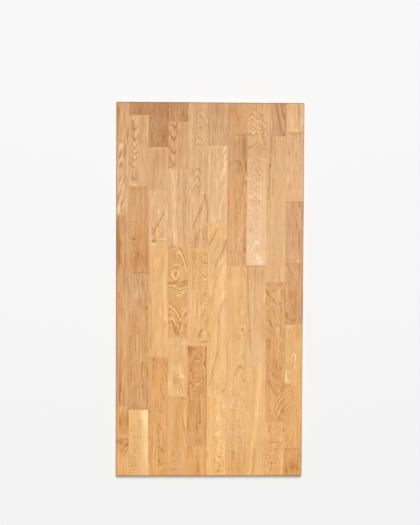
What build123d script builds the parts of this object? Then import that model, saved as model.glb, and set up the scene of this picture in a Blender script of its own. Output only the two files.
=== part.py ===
from build123d import *
import os

# Edge-glued tabletop of solid oak staves, lying flat with its best face up.
# X runs across the staves, Y runs along the grain, Z is up.
# The origin is the middle of the underside.
# Each stave is one piece of wood. All sizes are in mm.

# Overall sizes of the finished top. Its width is what the strips add up to.
top_length = 1200.0
top_thickness = 26.0

# Strips of staves, from the -X edge to the +X edge. Both outer strips were sawn
# narrower when the glued board was trimmed.
first_strip_width = 41.5
stave_width = 62.7
last_strip_width = 56.9

# Lengths of the staves in each strip as the face shows them, from the +Y end.
# Each strip's lengths add up to the length of the top that they were read from.
# In a longer or shorter top, all the staves of a strip are cut longer or shorter alike.
STAVE_LENGTHS = {
    "a": [131.0, 228.5, 613.0, 227.5],
    "b": [42.0, 226.5, 280.0, 436.5, 215.0],
    "c": [143.5, 138.5, 165.5, 366.5, 386.0],
    "d": [62.0, 150.0, 246.5, 293.0, 191.0, 171.5, 86.0],
    "e": [277.0, 188.0, 313.5, 323.0, 98.5],
    "f": [137.5, 248.5, 553.5, 260.5],
    "g": [97.0, 426.0, 187.5, 489.5],
    "h": [177.0, 343.0, 324.5, 355.5],
    "i": [107.0, 465.0, 452.0, 176.0],
    "j": [92.0, 221.5, 197.5, 198.0, 191.0, 208.5, 91.5],
}

# Finger joints between the ends of the staves. The fingers lie flat, so each face
# shows a straight line, and only the long edges of the top show the fingers.
finger_length = 10.0
finger_pitch = 4.2
finger_tip = 0.6
finger_shoulder = 2.5

# Eased edges of the finished top
arris_radius = 2.0
corner_radius = 3.0


def strip_edges():
    """The X of one long edge, of each glue line, and of the other long edge."""
    full_strips = len(STAVE_LENGTHS) - 2
    widths = [first_strip_width] + full_strips * [stave_width] + [last_strip_width]
    edges = [-sum(widths) / 2]
    for width in widths:
        edges.append(edges[-1] + width)
    return edges


def joint_places(lengths):
    """The Y of each end joint of a strip, from the +Y end."""
    stretch = top_length / sum(lengths)
    places = []
    y = top_length / 2
    for length in lengths[:-1]:
        y = y - length * stretch
        places.append(y)
    return places


def square_end(end_y):
    """A sawn end of the top in the Y-Z plane, from the underside to the face."""
    return [(end_y, 0), (end_y, top_thickness)]


def finger_joint(joint_y):
    """The zigzag of an end joint in the Y-Z plane, from the underside to the face."""
    fingered_height = top_thickness - 2 * finger_shoulder
    count = max(1, round(fingered_height / finger_pitch))
    pitch = fingered_height / count
    points = [(joint_y, 0), (joint_y, finger_shoulder)]
    for number in range(count):
        base = finger_shoulder + number * pitch
        for middle, side in ((base + pitch / 4, 1), (base + 3 * pitch / 4, -1)):
            tip_y = joint_y + side * finger_length / 2
            points.append((tip_y, middle - finger_tip / 2))
            points.append((tip_y, middle + finger_tip / 2))
    points.append((joint_y, top_thickness - finger_shoulder))
    points.append((joint_y, top_thickness))
    return points


def sawn_stave(left, right, near_end, far_end):
    """One stave with sharp edges, between two strip edges and two end outlines."""
    outline = Polyline(*near_end, *far_end[::-1], close=True)
    # In Plane.YZ the outline's first coordinate is Y and its second is Z
    section = Plane.YZ.offset(left) * make_face(outline)
    return extrude(section, amount=right - left)


def finished_outline(left, right):
    """The whole top as one block, with its corners rounded and its arrises eased."""
    block = Box(right - left, top_length, top_thickness, align=(Align.CENTER, Align.CENTER, Align.MIN))
    block = fillet(block.edges().filter_by(Axis.Z), corner_radius)
    return fillet(block.faces().filter_by(Axis.Z).edges(), arris_radius)


def build_staves():
    """Every stave as its own solid, named by its strip and its place from the +Y end."""
    edges = strip_edges()
    finished = finished_outline(edges[0], edges[-1])
    staves = {}
    for strip, left, right in zip(STAVE_LENGTHS, edges, edges[1:]):
        ends = [square_end(top_length / 2)]
        ends += [finger_joint(y) for y in joint_places(STAVE_LENGTHS[strip])]
        ends.append(square_end(-top_length / 2))
        for number, (near_end, far_end) in enumerate(zip(ends, ends[1:]), start=1):
            staves[f"stave_{strip}{number}"] = sawn_stave(left, right, near_end, far_end) & finished
    return staves


os.makedirs("parts", exist_ok=True)
for name, stave in build_staves().items():
    stave.label = name
    export_step(stave, f"parts/{name}.step")
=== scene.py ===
"""A solid oak tabletop, glued up from forty-nine staves and oiled.

The staves keep the shapes that they have in the frame. Each gets an oak of its own: the tone of its plank,
the grain that runs along it, and the growth rings, streaks, knots and pale patches that can be seen on it.

Places on the top are (across, down) in millimetres from its far left corner, as seen from above.
"""

import math
from dataclasses import dataclass

import bpy
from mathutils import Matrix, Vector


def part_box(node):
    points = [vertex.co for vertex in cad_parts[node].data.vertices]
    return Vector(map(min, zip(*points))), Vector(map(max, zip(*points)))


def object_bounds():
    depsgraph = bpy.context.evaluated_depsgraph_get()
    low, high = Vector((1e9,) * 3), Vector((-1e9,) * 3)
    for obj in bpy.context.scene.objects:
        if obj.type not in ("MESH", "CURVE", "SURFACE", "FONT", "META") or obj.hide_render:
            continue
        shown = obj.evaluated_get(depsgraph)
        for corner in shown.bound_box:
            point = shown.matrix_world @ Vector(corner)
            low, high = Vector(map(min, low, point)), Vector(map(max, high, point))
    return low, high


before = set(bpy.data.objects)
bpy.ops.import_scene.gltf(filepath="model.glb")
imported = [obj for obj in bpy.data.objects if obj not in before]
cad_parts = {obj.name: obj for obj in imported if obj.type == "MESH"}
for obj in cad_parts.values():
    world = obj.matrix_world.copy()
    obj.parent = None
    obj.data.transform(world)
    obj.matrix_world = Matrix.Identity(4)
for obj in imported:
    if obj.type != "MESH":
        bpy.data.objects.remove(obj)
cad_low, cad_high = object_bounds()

MM = 1000.0
WIDTH, LENGTH, THICKNESS = ((high - low) * MM for low, high in zip(cad_low, cad_high))


# Tones of the planks

def screen(red, green, blue):
    """A colour as a screen shows it, from 0 to 255, as the light that a shader works in."""
    shares = (red / 255, green / 255, blue / 255)
    return tuple(s / 12.92 if s <= 0.04045 else ((s + 0.055) / 1.055) ** 2.4 for s in shares)


TONES = {
    "umber": screen(188, 136, 89),
    "fumed": screen(193, 141, 95),
    "smoked": screen(208, 159, 115),
    "russet": screen(213, 159, 107),
    "tan": screen(214, 164, 116),
    "clay": screen(217, 164, 111),
    "wheat": screen(218, 169, 119),
    "chestnut": screen(221, 161, 100),
    "sand": screen(221, 173, 123),
    "amber": screen(224, 167, 107),
    "maize": screen(225, 173, 115),
    "toffee": screen(228, 169, 105),
    "ash": screen(227, 178, 127),
    "blond": screen(228, 181, 131),
    "pale_rose": screen(232, 186, 137),
    "honey": screen(233, 176, 112),
    "straw": screen(234, 183, 122),
    "cream": screen(239, 188, 125),
    "pearl": screen(238, 194, 149),
    "ivory": screen(244, 192, 127),
}
# How much of the tone the darkest and the palest wood keeps, in red, green and blue
DARK_WOOD = (0.69, 0.525, 0.34)
PALE_WOOD = (1.31, 1.475, 1.66)
# What more amber wood adds to its red, green and blue
AMBER_CAST = (0.03, -0.05, -0.26)


# What is to be seen on a stave. Shade is above 0 where the wood is paler and below 0 where it is darker.

@dataclass
class Mark:
    """A soft-edged streak or patch. Its warmth is above 0 where it is more amber, and bold adds mottle."""

    across: float
    down: float
    wide: float
    long: float
    lean: float
    shade: float
    warmth: float
    bold: float


def streak(across, down, to_across, to_down, wide, shade=0, warmth=0):
    """A mark drawn from one place to another, with its shade and warmth in hundredths."""
    run = (to_across - across, to_down - down)
    middle = (across + run[0] / 2, down + run[1] / 2)
    lean = math.atan2(-run[0], run[1])
    return Mark(*middle, wide, math.hypot(*run), lean, shade / 100, warmth / 100, 0.0)


def patch(across, down, wide, long, shade=0, warmth=0, bold=0):
    """A mark that lies along the stave about its middle, with its shade, warmth and bold in hundredths."""
    return Mark(across, down, wide, long, 0.0, shade / 100, warmth / 100, bold / 100)


@dataclass
class Arches:
    """Ring lines that cross the face in V's, or in arches where slope is below 0.

    Their tips lie on the heart line, which stands at across and moves by drift for each millimetre down.
    They reach as far as spread on either side of it. Blunt rounds their tips, and rough makes them uneven.
    """

    across: float
    downs: tuple
    slope: float
    spread: float
    thick: float
    shade: float
    blunt: float = 2.0
    drift: float = 0.0
    rough: float = 0.0


@dataclass
class Rings:
    """Many even ring lines like those of Arches, with their tips at first and at every so many millimetres.

    They show from start to end. A side of 1 keeps those to the right of the heart line, and -1 to the left.
    """

    across: float
    first: float
    every: float
    slope: float
    spread: float
    start: float
    end: float
    shade: float
    blunt: float = 2.0
    drift: float = 0.0
    rough: float = 0.0
    side: int = 0


@dataclass
class Stave:
    """How one stave was cut from its plank, in millimetres, and what is to be seen on it.

    ring_lines, streaky, fleck: how strong the lines of the rings, the streaks and the mottle are
    wave, curl: how far the grain bends, over a long and over a short stretch
    knot: across, down, size
    streaks: rows of across, down, to_across, to_down, wide, shade, warmth
    patches: rows of across, down, wide, long, shade, warmth, bold
    lines: rows of wide, shade and the (across, down) places that a thin line goes through, which follow
        one another steadily down the stave, or else across it

    In the rows, shade, warmth and bold are in hundredths.
    """

    tone: str
    ring_lines: float = 0.3
    streaky: float = 0.3
    wave: float = 3.0
    curl: float = 0.8
    fleck: float = 0.0
    knot: tuple = ()
    arches: tuple = ()
    rings: tuple = ()
    streaks: tuple = ()
    patches: tuple = ()
    lines: tuple = ()


STAVES = {
    "stave_a1": Stave("tan", streaks=(
        (4, -5, 4, 131, 9, -24, 100), (24, 78, 22, 131, 7, 30), (10, 65, 10, 125, 5, 15),
        (38, 82, 35, 131, 5, -36), (23, 36, 23, 62, 4, -18), (16, 15, 15, 75, 7, 15),
        (32, 20, 31, 60, 5, 15), (19, 100, 17, 128, 4, 15), (5, -5, 5, 52, 12, -30),
    )),
    "stave_a2": Stave("sand", streaks=(
        (20, 128, 10, 154, 8, 53), (29, 134, 27, 186, 7, -33, -30), (37, 134, 37, 190, 10, 12, -20),
        (19, 156, 9, 180, 6, -43), (23, 164, 8, 202, 6, 40), (22, 188, 13, 210, 11, -40),
        (4, 132, 4, 154, 6, -25, 50), (10, 205, 4, 238, 6, 22), (36, 200, 33, 232, 8, 10),
        (19, 230, 9, 264, 5, -38), (24, 234, 13, 266, 4, 30), (29, 234, 21, 264, 5, -43),
        (28, 248, 21, 292, 6, 38), (34, 240, 30, 290, 5, -15), (15, 282, 4, 324, 6, -38),
        (22, 288, 8, 342, 6, 33), (24, 308, 16, 336, 5, -50), (27, 312, 19, 348, 5, 35),
        (18, 334, 16, 360, 5, -33), (9, 328, 7, 362, 10, 43), (36, 290, 35, 356, 8, 15),
        (9, 258, 9, 288, 6, 3, 60), (4, 170, 4, 300, 5, -6, 40), (6, 225, 6, 315, 10, 12, -50),
        (2, 128, 2, 360, 4, -25),
    ), patches=(
        (20, 158, 36, 50, -20),
    )),
    "stave_a3": Stave("russet", streaks=(
        (7, 358, 6, 402, 9, -22), (22, 362, 23, 384, 5, -30), (6, 398, 6, 532, 10, -68, 10),
        (11, 440, 10, 530, 6, -27, -40), (14, 440, 14, 452, 4, -32), (21, 380, 21, 520, 6, 8),
        (33, 380, 33, 520, 8, 11, -20), (28, 440, 28, 560, 4, -14), (15, 500, 18, 530, 5, -22),
        (5, 535, 5, 720, 8, 3, 90), (7, 575, 21, 622, 4, 22), (8, 592, 19, 640, 6, -19, 40),
        (14, 585, 22, 612, 4, -19), (18, 640, 18, 692, 5, -27), (14, 662, 14, 700, 5, 22),
        (27, 655, 28, 700, 4, -24), (36, 560, 36, 600, 4, -19), (34, 545, 32, 660, 5, 16),
        (31, 690, 31, 900, 7, 16, 40), (10, 740, 10, 830, 5, 19), (14, 765, 14, 850, 4, -19),
        (30, 815, 31, 860, 4, -22), (36, 830, 36, 905, 6, 14, 30), (13, 835, 13, 985, 9, -43, 20),
        (20, 850, 18, 935, 5, -35), (24, 876, 17, 978, 5, 27), (25, 925, 24, 972, 4, -30),
        (29, 890, 27, 960, 4, -22), (38, 895, 38, 966, 8, 27), (8, 900, 8, 975, 4, 16, 50),
        (6, 400, 6, 620, 12, -20, -30),
    ), patches=(
        (38, 958, 8, 20, 5, 10), (22, 390, 50, 60, -10, -30), (34, 700, 18, 240, 16), (8, 892, 18, 50, 16),
    )),
    "stave_a4": Stave("amber", streaky=0.26, knot=(39, 1092, 5), streaks=(
        (15, 975, 14, 992, 6, 28), (20, 976, 19, 1000, 4, -22), (13, 1002, 13, 1048, 8, -35, 10),
        (40, 985, 40, 1048, 6, -43), (40, 1090, 25, 1106, 6, -58), (26, 1104, 12, 1124, 6, -38),
        (41, 1106, 18, 1134, 6, -30), (36, 1100, 20, 1122, 4, 18), (10, 1100, 24, 1104, 4, 12),
        (7, 980, 7, 1200, 7, 15, 30), (31, 1140, 30, 1190, 5, -7), (6, 1110, 6, 1200, 10, -4, -40),
    ), patches=(
        (26, 1015, 22, 54, -22, -10), (26, 1052, 28, 20, -18), (24, 1069, 28, 12, 12),
        (24, 1166, 36, 66, 12, 35), (8, 1086, 20, 50, -20, -60), (34, 1155, 18, 80, 14, -30),
    ), lines=(
        (5, -35, (16, 1084), (26, 1080), (41, 1077)), (5, -38, (4, 1084), (12, 1090), (28, 1095)),
    )),

    "stave_b1": Stave("umber", streaky=0.2, streaks=(
        (76, 16, 76, 44, 8, -28), (95, 8, 96, 42, 8, 0, 30),
    ), patches=(
        (60, 36, 20, 10, -16), (74, 20, 80, 60, 0, 25),
    )),
    "stave_b2": Stave("wheat", arches=(
        Arches(60, (91, 123, 150, 169, 188), 2.2, 16, 6, -0.48, blunt=3, rough=3),
        Arches(60, (106, 137, 160, 179), 2.2, 12, 5, 0.2, blunt=3, rough=3),
    ), streaks=(
        (52, 42, 59, 62, 6, 40), (51, 56, 60, 88, 5, -20), (46, 82, 46, 132, 4, 20),
        (49, 88, 50, 132, 3, -14), (53, 94, 53, 128, 3, 14), (74, 100, 74, 138, 5, -28),
        (94, 42, 94, 118, 7, -4, 60), (100, 44, 100, 140, 7, 22), (88, 138, 90, 186, 8, 10, 30),
        (80, 196, 82, 266, 8, 18, 30), (64, 204, 65, 264, 5, -26), (42, 226, 51, 264, 7, 30),
        (70, 212, 71, 264, 5, -10, -40), (61, 46, 61, 60, 4, -20), (64, 206, 66, 250, 4, -16),
    ), patches=(
        (55, 243, 16, 20, -26), (55, 263, 22, 9, 28),
    ), lines=(
        (5, -40, (53, 52), (57, 70), (61, 90)), (5, -36, (51, 82), (56, 102), (61, 124)),
        (5, -36, (42, 186), (47, 196), (54, 206), (62, 210)), (5, -20, (42, 236), (52, 244), (62, 246)),
    )),
    "stave_b3": Stave("russet", knot=(54, 438, 3), rings=(
        Rings(57, 383, 7.6, -1.0, 40, 382, 440, 0.46, rough=3),
        Rings(54, 317, 9, -0.5, 13, 314, 344, 0.16, rough=2),
        Rings(57, 440, 11, -0.9, 26, 446, 540, 0.17, rough=5),
    ), streaks=(
        (93, 285, 97, 330, 5, -14), (69, 476, 69, 496, 6, -42), (97, 300, 97, 430, 12, 4, 80),
        (101, 462, 100, 546, 6, -22, 30), (44, 400, 43, 530, 6, 5, 20), (92, 268, 92, 365, 18, 12),
        (54, 444, 54, 464, 3, -30),
    ), patches=(
        (70, 275, 60, 14, -12), (57, 300, 18, 34, 6, 40), (54, 438, 7, 9, -75), (52, 454, 4, 9, -22),
        (74, 500, 54, 110, -22, 80), (72, 546, 66, 7, -26), (46, 350, 8, 30, -10), (66, 400, 44, 60, 0, 20),
        (44, 543, 5, 8, 30), (62, 432, 40, 50, -12), (84, 420, 40, 60, -4, 30),
    )),
    "stave_b4": Stave("clay", wave=4, curl=1.4, fleck=0.16, knot=(100, 657, 3), streaks=(
        (60, 556, 58, 652, 5, 10), (66, 596, 65, 668, 8, 7, -20), (83, 558, 88, 614, 6, -30),
        (79, 560, 82, 622, 6, 10, -40), (95, 596, 100, 645, 5, -22), (43, 752, 43, 776, 4, -26),
        (78, 742, 83, 784, 9, -14), (99, 776, 100, 798, 5, -22), (69, 798, 69, 828, 5, 22),
        (79, 798, 85, 838, 6, 16), (45, 800, 46, 826, 6, -8, -40), (99, 826, 99, 888, 5, -26),
        (47, 856, 46, 900, 4, -30), (75, 900, 73, 920, 4, -22), (91, 898, 81, 917, 6, -26),
        (76, 926, 76, 956, 4, -24), (89, 922, 87, 948, 6, -22), (92, 902, 98, 938, 5, -18),
        (82, 924, 80, 950, 4, 12), (52, 700, 50, 745, 5, 8),
    ), patches=(
        (70, 590, 60, 100, 4, -50), (52, 850, 20, 300, 4, 50), (84, 860, 26, 240, 2, 30),
        (100, 657, 5, 12, -36), (94, 660, 9, 16, -12), (103, 690, 5, 6, -21), (76, 640, 24, 40, -16),
        (62, 690, 20, 30, -12), (70, 728, 24, 36, -6, 60), (50, 786, 12, 30, -2, -40),
        (73, 868, 11, 34, 5, 50), (86, 886, 8, 26, 0, -40), (70, 980, 66, 9, -18), (57, 968, 14, 18, -8),
        (72, 578, 62, 60, -12), (92, 670, 24, 50, -7), (92, 814, 22, 50, 8),
    ), lines=(
        (4, 30, (90, 694), (95, 680), (104, 671)), (4, -20, (94, 692), (99, 682), (106, 676)),
        (5, 30, (63, 742), (70, 768), (67, 798)), (5, -32, (58, 762), (62, 778), (62, 796)),
        (5, -30, (89, 826), (84, 864), (92, 894)),
    )),
    "stave_b5": Stave("cream", fleck=0.26, streaky=0.16, rings=(
        Rings(48, 1010, 9, -0.8, 36, 1000, 1100, 0.2, rough=7),
        Rings(52, 1100, 9, -1.0, 26, 1100, 1200, 0.4, rough=4),
    ), streaks=(
        (101, 1020, 102, 1210, 9, 32), (45, 1090, 45, 1108, 5, 13),
    ), patches=(
        (98, 1014, 18, 70, 53, 10), (92, 998, 30, 36, 27), (50, 1068, 16, 44, 4, 40),
        (63, 1116, 11, 8, -19), (56, 1150, 24, 90, -8, 20), (60, 1060, 30, 70, -6),
        (94, 1090, 22, 240, 6, -80), (52, 1160, 24, 70, -12), (52, 1014, 24, 50, 10),
    )),

    "stave_c1": Stave("umber", fleck=0.22, streaky=0.34, streaks=(
        (145, 28, 145, 64, 6, -32), (165, 15, 163, 66, 7, -35), (159, 60, 160, 144, 14, -24),
        (150, 98, 151, 128, 6, -27), (127, 50, 128, 125, 8, 14), (112, 60, 111, 144, 8, 5),
    ), patches=(
        (138, 108, 7, 8, -22), (142, 86, 7, 60, -14), (122, 40, 20, 30, 5, 30), (152, 22, 28, 60, -26),
        (117, 24, 16, 50, -10),
    )),
    "stave_c2": Stave("wheat", streaky=0.22, streaks=(
        (128, 146, 129, 204, 4, -20), (121, 150, 122, 280, 5, -10), (150, 144, 150, 166, 6, -14),
        (162, 190, 162, 275, 9, 5, -40), (117, 250, 118, 282, 8, -14), (144, 248, 144, 282, 5, -14),
        (137, 150, 137, 240, 5, 10), (156, 160, 156, 240, 5, 6, 20),
    ), patches=(
        (136, 146, 60, 6, 10), (136, 190, 36, 100, -14, -10),
    )),
    "stave_c3": Stave("blond", knot=(118, 446, 4), streaks=(
        (112, 282, 112, 352, 11, 13), (116, 283, 115, 308, 5, -20), (135, 284, 134, 314, 6, -18),
        (163, 286, 163, 330, 6, -20), (147, 372, 137, 398, 7, 20), (139, 338, 133, 368, 7, 15),
        (120, 396, 116, 430, 11, -31), (131, 402, 124, 434, 6, 26), (141, 412, 130, 440, 5, 15),
        (157, 424, 139, 433, 5, -20), (158, 344, 161, 364, 5, 20), (155, 370, 158, 430, 8, 9),
    ), patches=(
        (150, 360, 7, 10, -18), (131, 360, 6, 8, -23), (118, 444, 12, 9, -44, -10), (145, 438, 18, 6, 18),
        (134, 415, 5, 6, -23), (150, 312, 36, 60, -12), (118, 444, 7, 6, -20),
    ), lines=(
        (6, -34, (158, 343), (154, 353), (150, 364)),
        (6, -35, (149, 364), (141, 376), (134, 388), (130, 402)),
        (4, -22, (129, 443), (136, 432), (146, 420), (162, 408)),
        (4, 13, (132, 446), (140, 440), (150, 439), (164, 441)),
        (4, -20, (134, 448), (143, 444), (152, 445), (160, 447)),
    )),
    "stave_c4": Stave("straw", streaky=0.24, streaks=(
        (158, 455, 158, 810, 8, 20), (163, 455, 163, 600, 6, 7, -50), (150, 478, 150, 536, 4, -22),
        (134, 600, 134, 724, 4, -12), (157, 698, 157, 722, 5, -29), (110, 612, 111, 654, 6, -22),
        (113, 756, 114, 796, 5, -19), (127, 788, 126, 814, 5, -17), (128, 470, 128, 500, 4, -12),
        (120, 560, 120, 760, 7, 6), (140, 700, 141, 790, 4, 14), (114, 445, 114, 560, 14, -10, -30),
        (114, 640, 115, 815, 16, -13, -20),
    ), patches=(
        (145, 674, 8, 36, 12, 30), (118, 453, 16, 9, 26), (118, 520, 10, 26, 7, -30),
    )),
    "stave_c5": Stave("toffee", wave=3, curl=1.2, streaks=(
        (151, 814, 165, 850, 7, -34), (147, 832, 155, 854, 5, -21), (152, 848, 164, 880, 6, -36),
        (149, 876, 156, 908, 7, -28), (164, 878, 163, 908, 5, -23), (156, 902, 161, 944, 6, -26),
        (141, 900, 148, 934, 6, -28), (146, 928, 157, 956, 7, -39), (156, 844, 158, 866, 5, 19),
        (121, 814, 122, 832, 5, -28), (108, 972, 108, 1004, 6, -19, -40), (130, 946, 130, 988, 6, -21),
        (118, 950, 118, 1004, 4, -19), (136, 970, 141, 1004, 6, -15), (127, 1000, 128, 1024, 6, -23),
        (134, 1042, 134, 1068, 6, -36), (132, 1022, 141, 1042, 6, -23), (139, 1036, 153, 1054, 7, -32),
        (152, 1048, 154, 1082, 6, -30), (155, 1078, 156, 1104, 5, -21), (134, 1108, 147, 1108, 6, -26),
        (145, 1110, 155, 1126, 7, -39), (128, 1116, 128, 1150, 5, -26), (141, 1142, 140, 1164, 6, -26),
        (156, 1163, 149, 1176, 5, 23), (144, 1168, 142, 1190, 5, 21), (120, 896, 119, 1004, 5, 11),
        (123, 1090, 123, 1186, 5, 17), (135, 1106, 134, 1194, 5, 13), (158, 1026, 157, 1060, 5, 17),
        (112, 1000, 112, 1198, 10, -11, 40),
    ), patches=(
        (154, 925, 9, 26, 11, 50), (149, 991, 15, 8, -24, 20), (133, 833, 6, 8, -23), (122, 845, 7, 6, -14),
        (140, 826, 12, 12, -11), (137, 1085, 9, 9, -15), (144, 1164, 8, 7, -23), (153, 1160, 7, 7, -23),
        (148, 1184, 7, 7, -20), (146, 1078, 9, 28, 9), (158, 905, 20, 110, 14, -40),
        (136, 838, 20, 46, -8, -30), (124, 1130, 34, 150, -8),
    )),

    "stave_d1": Stave("fumed", streaky=0.32, streaks=(
        (209, 26, 217, 48, 8, -39), (226, 38, 225, 64, 7, -34), (178, 8, 178, 54, 5, -21, -30),
    ), patches=(
        (190, 42, 13, 44, 13, 60), (203, 32, 15, 13, 16, -20), (221, 57, 9, 10, -25),
        (171, 12, 13, 16, -18), (196, 57, 10, 10, 21), (212, 18, 30, 12, 0, 30),
    )),
    "stave_d2": Stave("tan", streaky=0.26, streaks=(
        (166, 66, 171, 98, 5, 38), (170, 94, 173, 132, 5, 16), (185, 64, 189, 78, 5, 27),
        (185, 96, 184, 114, 7, 36), (179, 158, 185, 188, 5, 34), (180, 128, 182, 150, 7, 11),
        (200, 56, 199, 92, 6, 22), (216, 100, 217, 212, 13, 11, 30), (170, 168, 169, 206, 7, -16, -50),
        (205, 90, 205, 200, 6, -7, 10), (218, 155, 218, 212, 12, 10, -20),
    ), patches=(
        (175, 72, 9, 7, -32), (178, 109, 6, 6, -21), (170, 207, 11, 12, -31), (196, 85, 64, 56, -12),
        (196, 130, 70, 160, -3, 15),
    ), lines=(
        (4, -46, (176, 71), (181, 74), (185, 80), (188, 86)),
        (4, -50, (197, 62), (194, 72), (191, 80), (189, 86)), (4, -40, (167, 90), (171, 101), (178, 110)),
        (5, -50, (178, 110), (181, 116), (184, 122)), (5, -50, (190, 112), (187, 117), (184, 123)),
        (4, -30, (190, 112), (194, 102), (197, 86)), (5, -34, (171, 138), (176, 151), (181, 159)),
        (5, -46, (178, 156), (181, 160), (184, 164)), (5, -44, (191, 154), (188, 159), (185, 164)),
        (5, -27, (173, 172), (175, 186), (179, 196)), (6, -38, (178, 195), (183, 200), (189, 194)),
    )),
    "stave_d3": Stave("ash", streaks=(
        (176, 212, 181, 254, 8, 33), (187, 212, 194, 250, 4, 26), (182, 214, 190, 250, 4, -24),
        (185, 225, 184, 334, 14, 18), (184, 320, 183, 445, 8, 20), (200, 212, 200, 264, 6, -35),
        (196, 246, 195, 294, 5, -33), (198, 296, 198, 328, 5, -26), (195, 336, 196, 410, 4, -20),
        (172, 212, 173, 264, 5, -24), (193, 306, 192, 348, 4, 31), (224, 220, 225, 264, 6, -15),
        (222, 290, 223, 334, 5, -22), (188, 396, 187, 458, 4, 31), (206, 350, 207, 380, 4, 13),
        (168, 300, 168, 330, 4, 11, 20), (199, 350, 199, 460, 12, -13), (182, 305, 181, 460, 12, 10),
    ), patches=(
        (214, 330, 26, 250, -9, -40), (174, 420, 8, 60, 7, -50), (216, 255, 26, 100, -12, -40),
    ), lines=(
        (4, -22, (172, 286), (176, 320), (179, 356)),
    )),
    "stave_d4": Stave("maize", streaky=0.14, rings=(
        Rings(202, 470, 7.4, -0.82, 50, 462, 552, 0.62, rough=1.5, side=-1),
        Rings(198, 488, 8.0, -1.5, 22, 492, 530, 0.5, side=1),
        Rings(199, 596, 7.6, 0.95, 36, 596, 660, 0.74, drift=0.1, rough=1.5, side=1),
        Rings(199, 596, 7.6, 0.8, 40, 596, 656, 0.66, drift=0.1, rough=2, side=-1),
    ), streaks=(
        (167, 666, 172, 659, 5, -34), (167, 686, 174, 677, 5, -32), (170, 709, 176, 699, 6, -32),
        (201, 730, 200, 747, 6, -34), (226, 706, 226, 722, 6, -34), (223, 728, 222, 744, 5, -20),
        (208, 716, 206, 740, 5, 22), (170, 688, 171, 700, 7, 18), (169, 648, 169, 656, 5, 20),
    ), patches=(
        (177, 462, 20, 10, -23, 40), (175, 579, 26, 9, -45, 20), (200, 690, 64, 120, 2, 30),
        (196, 640, 60, 50, 0, 40), (172, 641, 9, 6, -30), (172, 716, 12, 14, 5, 50),
        (178, 737, 16, 16, 6, 20), (200, 720, 50, 50, -6), (178, 485, 26, 50, -10),
    ), lines=(
        (5, 31, (191, 471), (201, 463), (218, 462)),
        (5, -45, (195, 476), (203, 469), (209, 473), (214, 484), (221, 504), (228, 526)),
        (5, 54, (193, 484), (200, 476), (206, 481), (212, 497), (219, 511), (229, 540)),
        (5, -32, (200, 487), (206, 494), (212, 508), (218, 522)), (4, 27, (197, 496), (203, 495)),
        (4, 36, (186, 527), (196, 519), (204, 528), (212, 542)),
        (5, -32, (184, 536), (190, 528), (197, 529), (204, 540), (206, 548)),
        (5, 56, (184, 560), (182, 551), (188, 537), (192, 533)),
        (5, 56, (194, 534), (201, 545), (199, 555), (192, 567), (189, 570)),
        (5, 45, (184, 560), (188, 569)), (5, -45, (187, 555), (191, 542)),
        (5, -45, (172, 558), (180, 566), (189, 573), (197, 566), (205, 550)),
        (4, 36, (172, 556), (177, 545), (181, 536)), (4, -32, (167, 558), (172, 548), (177, 538)),
        (4, 40, (165, 559), (173, 563), (181, 570)),
        (7, -36, (184, 582), (196, 580), (210, 577), (229, 566)),
        (4, 31, (167, 587), (177, 585), (192, 594)), (4, -27, (167, 593), (178, 592), (190, 600)),
        (8, -36, (203, 591), (217, 584), (230, 578)), (4, 32, (196, 598), (208, 592), (230, 584)),
        (5, 45, (194, 613), (201, 617), (211, 607), (222, 600)),
        (4, -44, (177, 643), (183, 651), (190, 657), (197, 664), (203, 670), (207, 678), (206, 690)),
        (4, -42, (173, 658), (179, 662), (185, 670), (190, 674), (196, 686), (202, 694), (203, 708)),
        (5, -42, (178, 676), (184, 681), (188, 688), (192, 698), (195, 706), (197, 726)),
        (7, -44, (178, 698), (183, 704), (186, 716), (190, 728), (193, 740)),
        (5, -42, (223, 667), (218, 678), (213, 692), (209, 704), (207, 714), (204, 726)),
        (4, -36, (227, 668), (224, 678), (221, 692), (218, 708), (215, 724), (213, 742)),
        (4, 40, (172, 648), (177, 653), (185, 664), (190, 669), (197, 678), (204, 689), (208, 697)),
        (4, 34, (173, 668), (180, 672), (186, 684), (191, 692), (196, 702), (199, 714), (200, 724)),
        (5, 32, (178, 686), (184, 694), (190, 706), (195, 718)),
        (5, 44, (228, 652), (219, 671), (213, 688), (209, 697)),
        (5, 38, (223, 685), (218, 702), (213, 718), (212, 732)),
    )),
    "stave_d5": Stave("straw", fleck=0.16, streaky=0.2, arches=(
        Arches(185, (846,), -2.4, 9, 6, 0.26),
    ), streaks=(
        (169, 872, 169, 932, 6, 26), (178, 862, 177, 934, 8, 19), (204, 834, 207, 882, 7, 48),
        (187, 856, 186, 918, 7, -14), (208, 900, 215, 930, 5, -29), (204, 902, 209, 928, 5, 22),
    ), patches=(
        (171, 751, 7, 11, -31, -50), (212, 752, 9, 9, -32, -60), (227, 752, 7, 9, -37, -50),
        (210, 877, 16, 18, 36, -20), (200, 874, 7, 18, -22, -60), (193, 862, 7, 16, 17),
        (193, 892, 20, 34, -17, 10), (224, 892, 9, 34, 10, 10), (200, 934, 60, 14, 5),
        (190, 775, 20, 24, -7, 10), (216, 770, 20, 14, 14, -50), (217, 776, 22, 50, 2, -50),
        (180, 824, 22, 46, -8), (180, 776, 26, 50, 0, -50),
    )),
    "stave_d6": Stave("honey", streaky=0.22, streaks=(
        (208, 952, 210, 984, 5, -24), (203, 952, 204, 978, 4, -22), (214, 1004, 224, 1064, 5, -26),
        (218, 1016, 228, 1080, 4, -22), (206, 1024, 213, 1084, 5, -20), (199, 1046, 205, 1110, 5, -18),
        (222, 985, 229, 1044, 6, 22), (211, 1014, 218, 1074, 4, 18), (205, 1020, 210, 1074, 4, 14),
        (180, 1082, 180, 1112, 4, -16), (186, 950, 186, 990, 5, 10),
    ), patches=(
        (180, 1030, 22, 170, 4, -20), (206, 1020, 26, 190, -12, 35), (205, 946, 22, 6, -20, 40),
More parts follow.
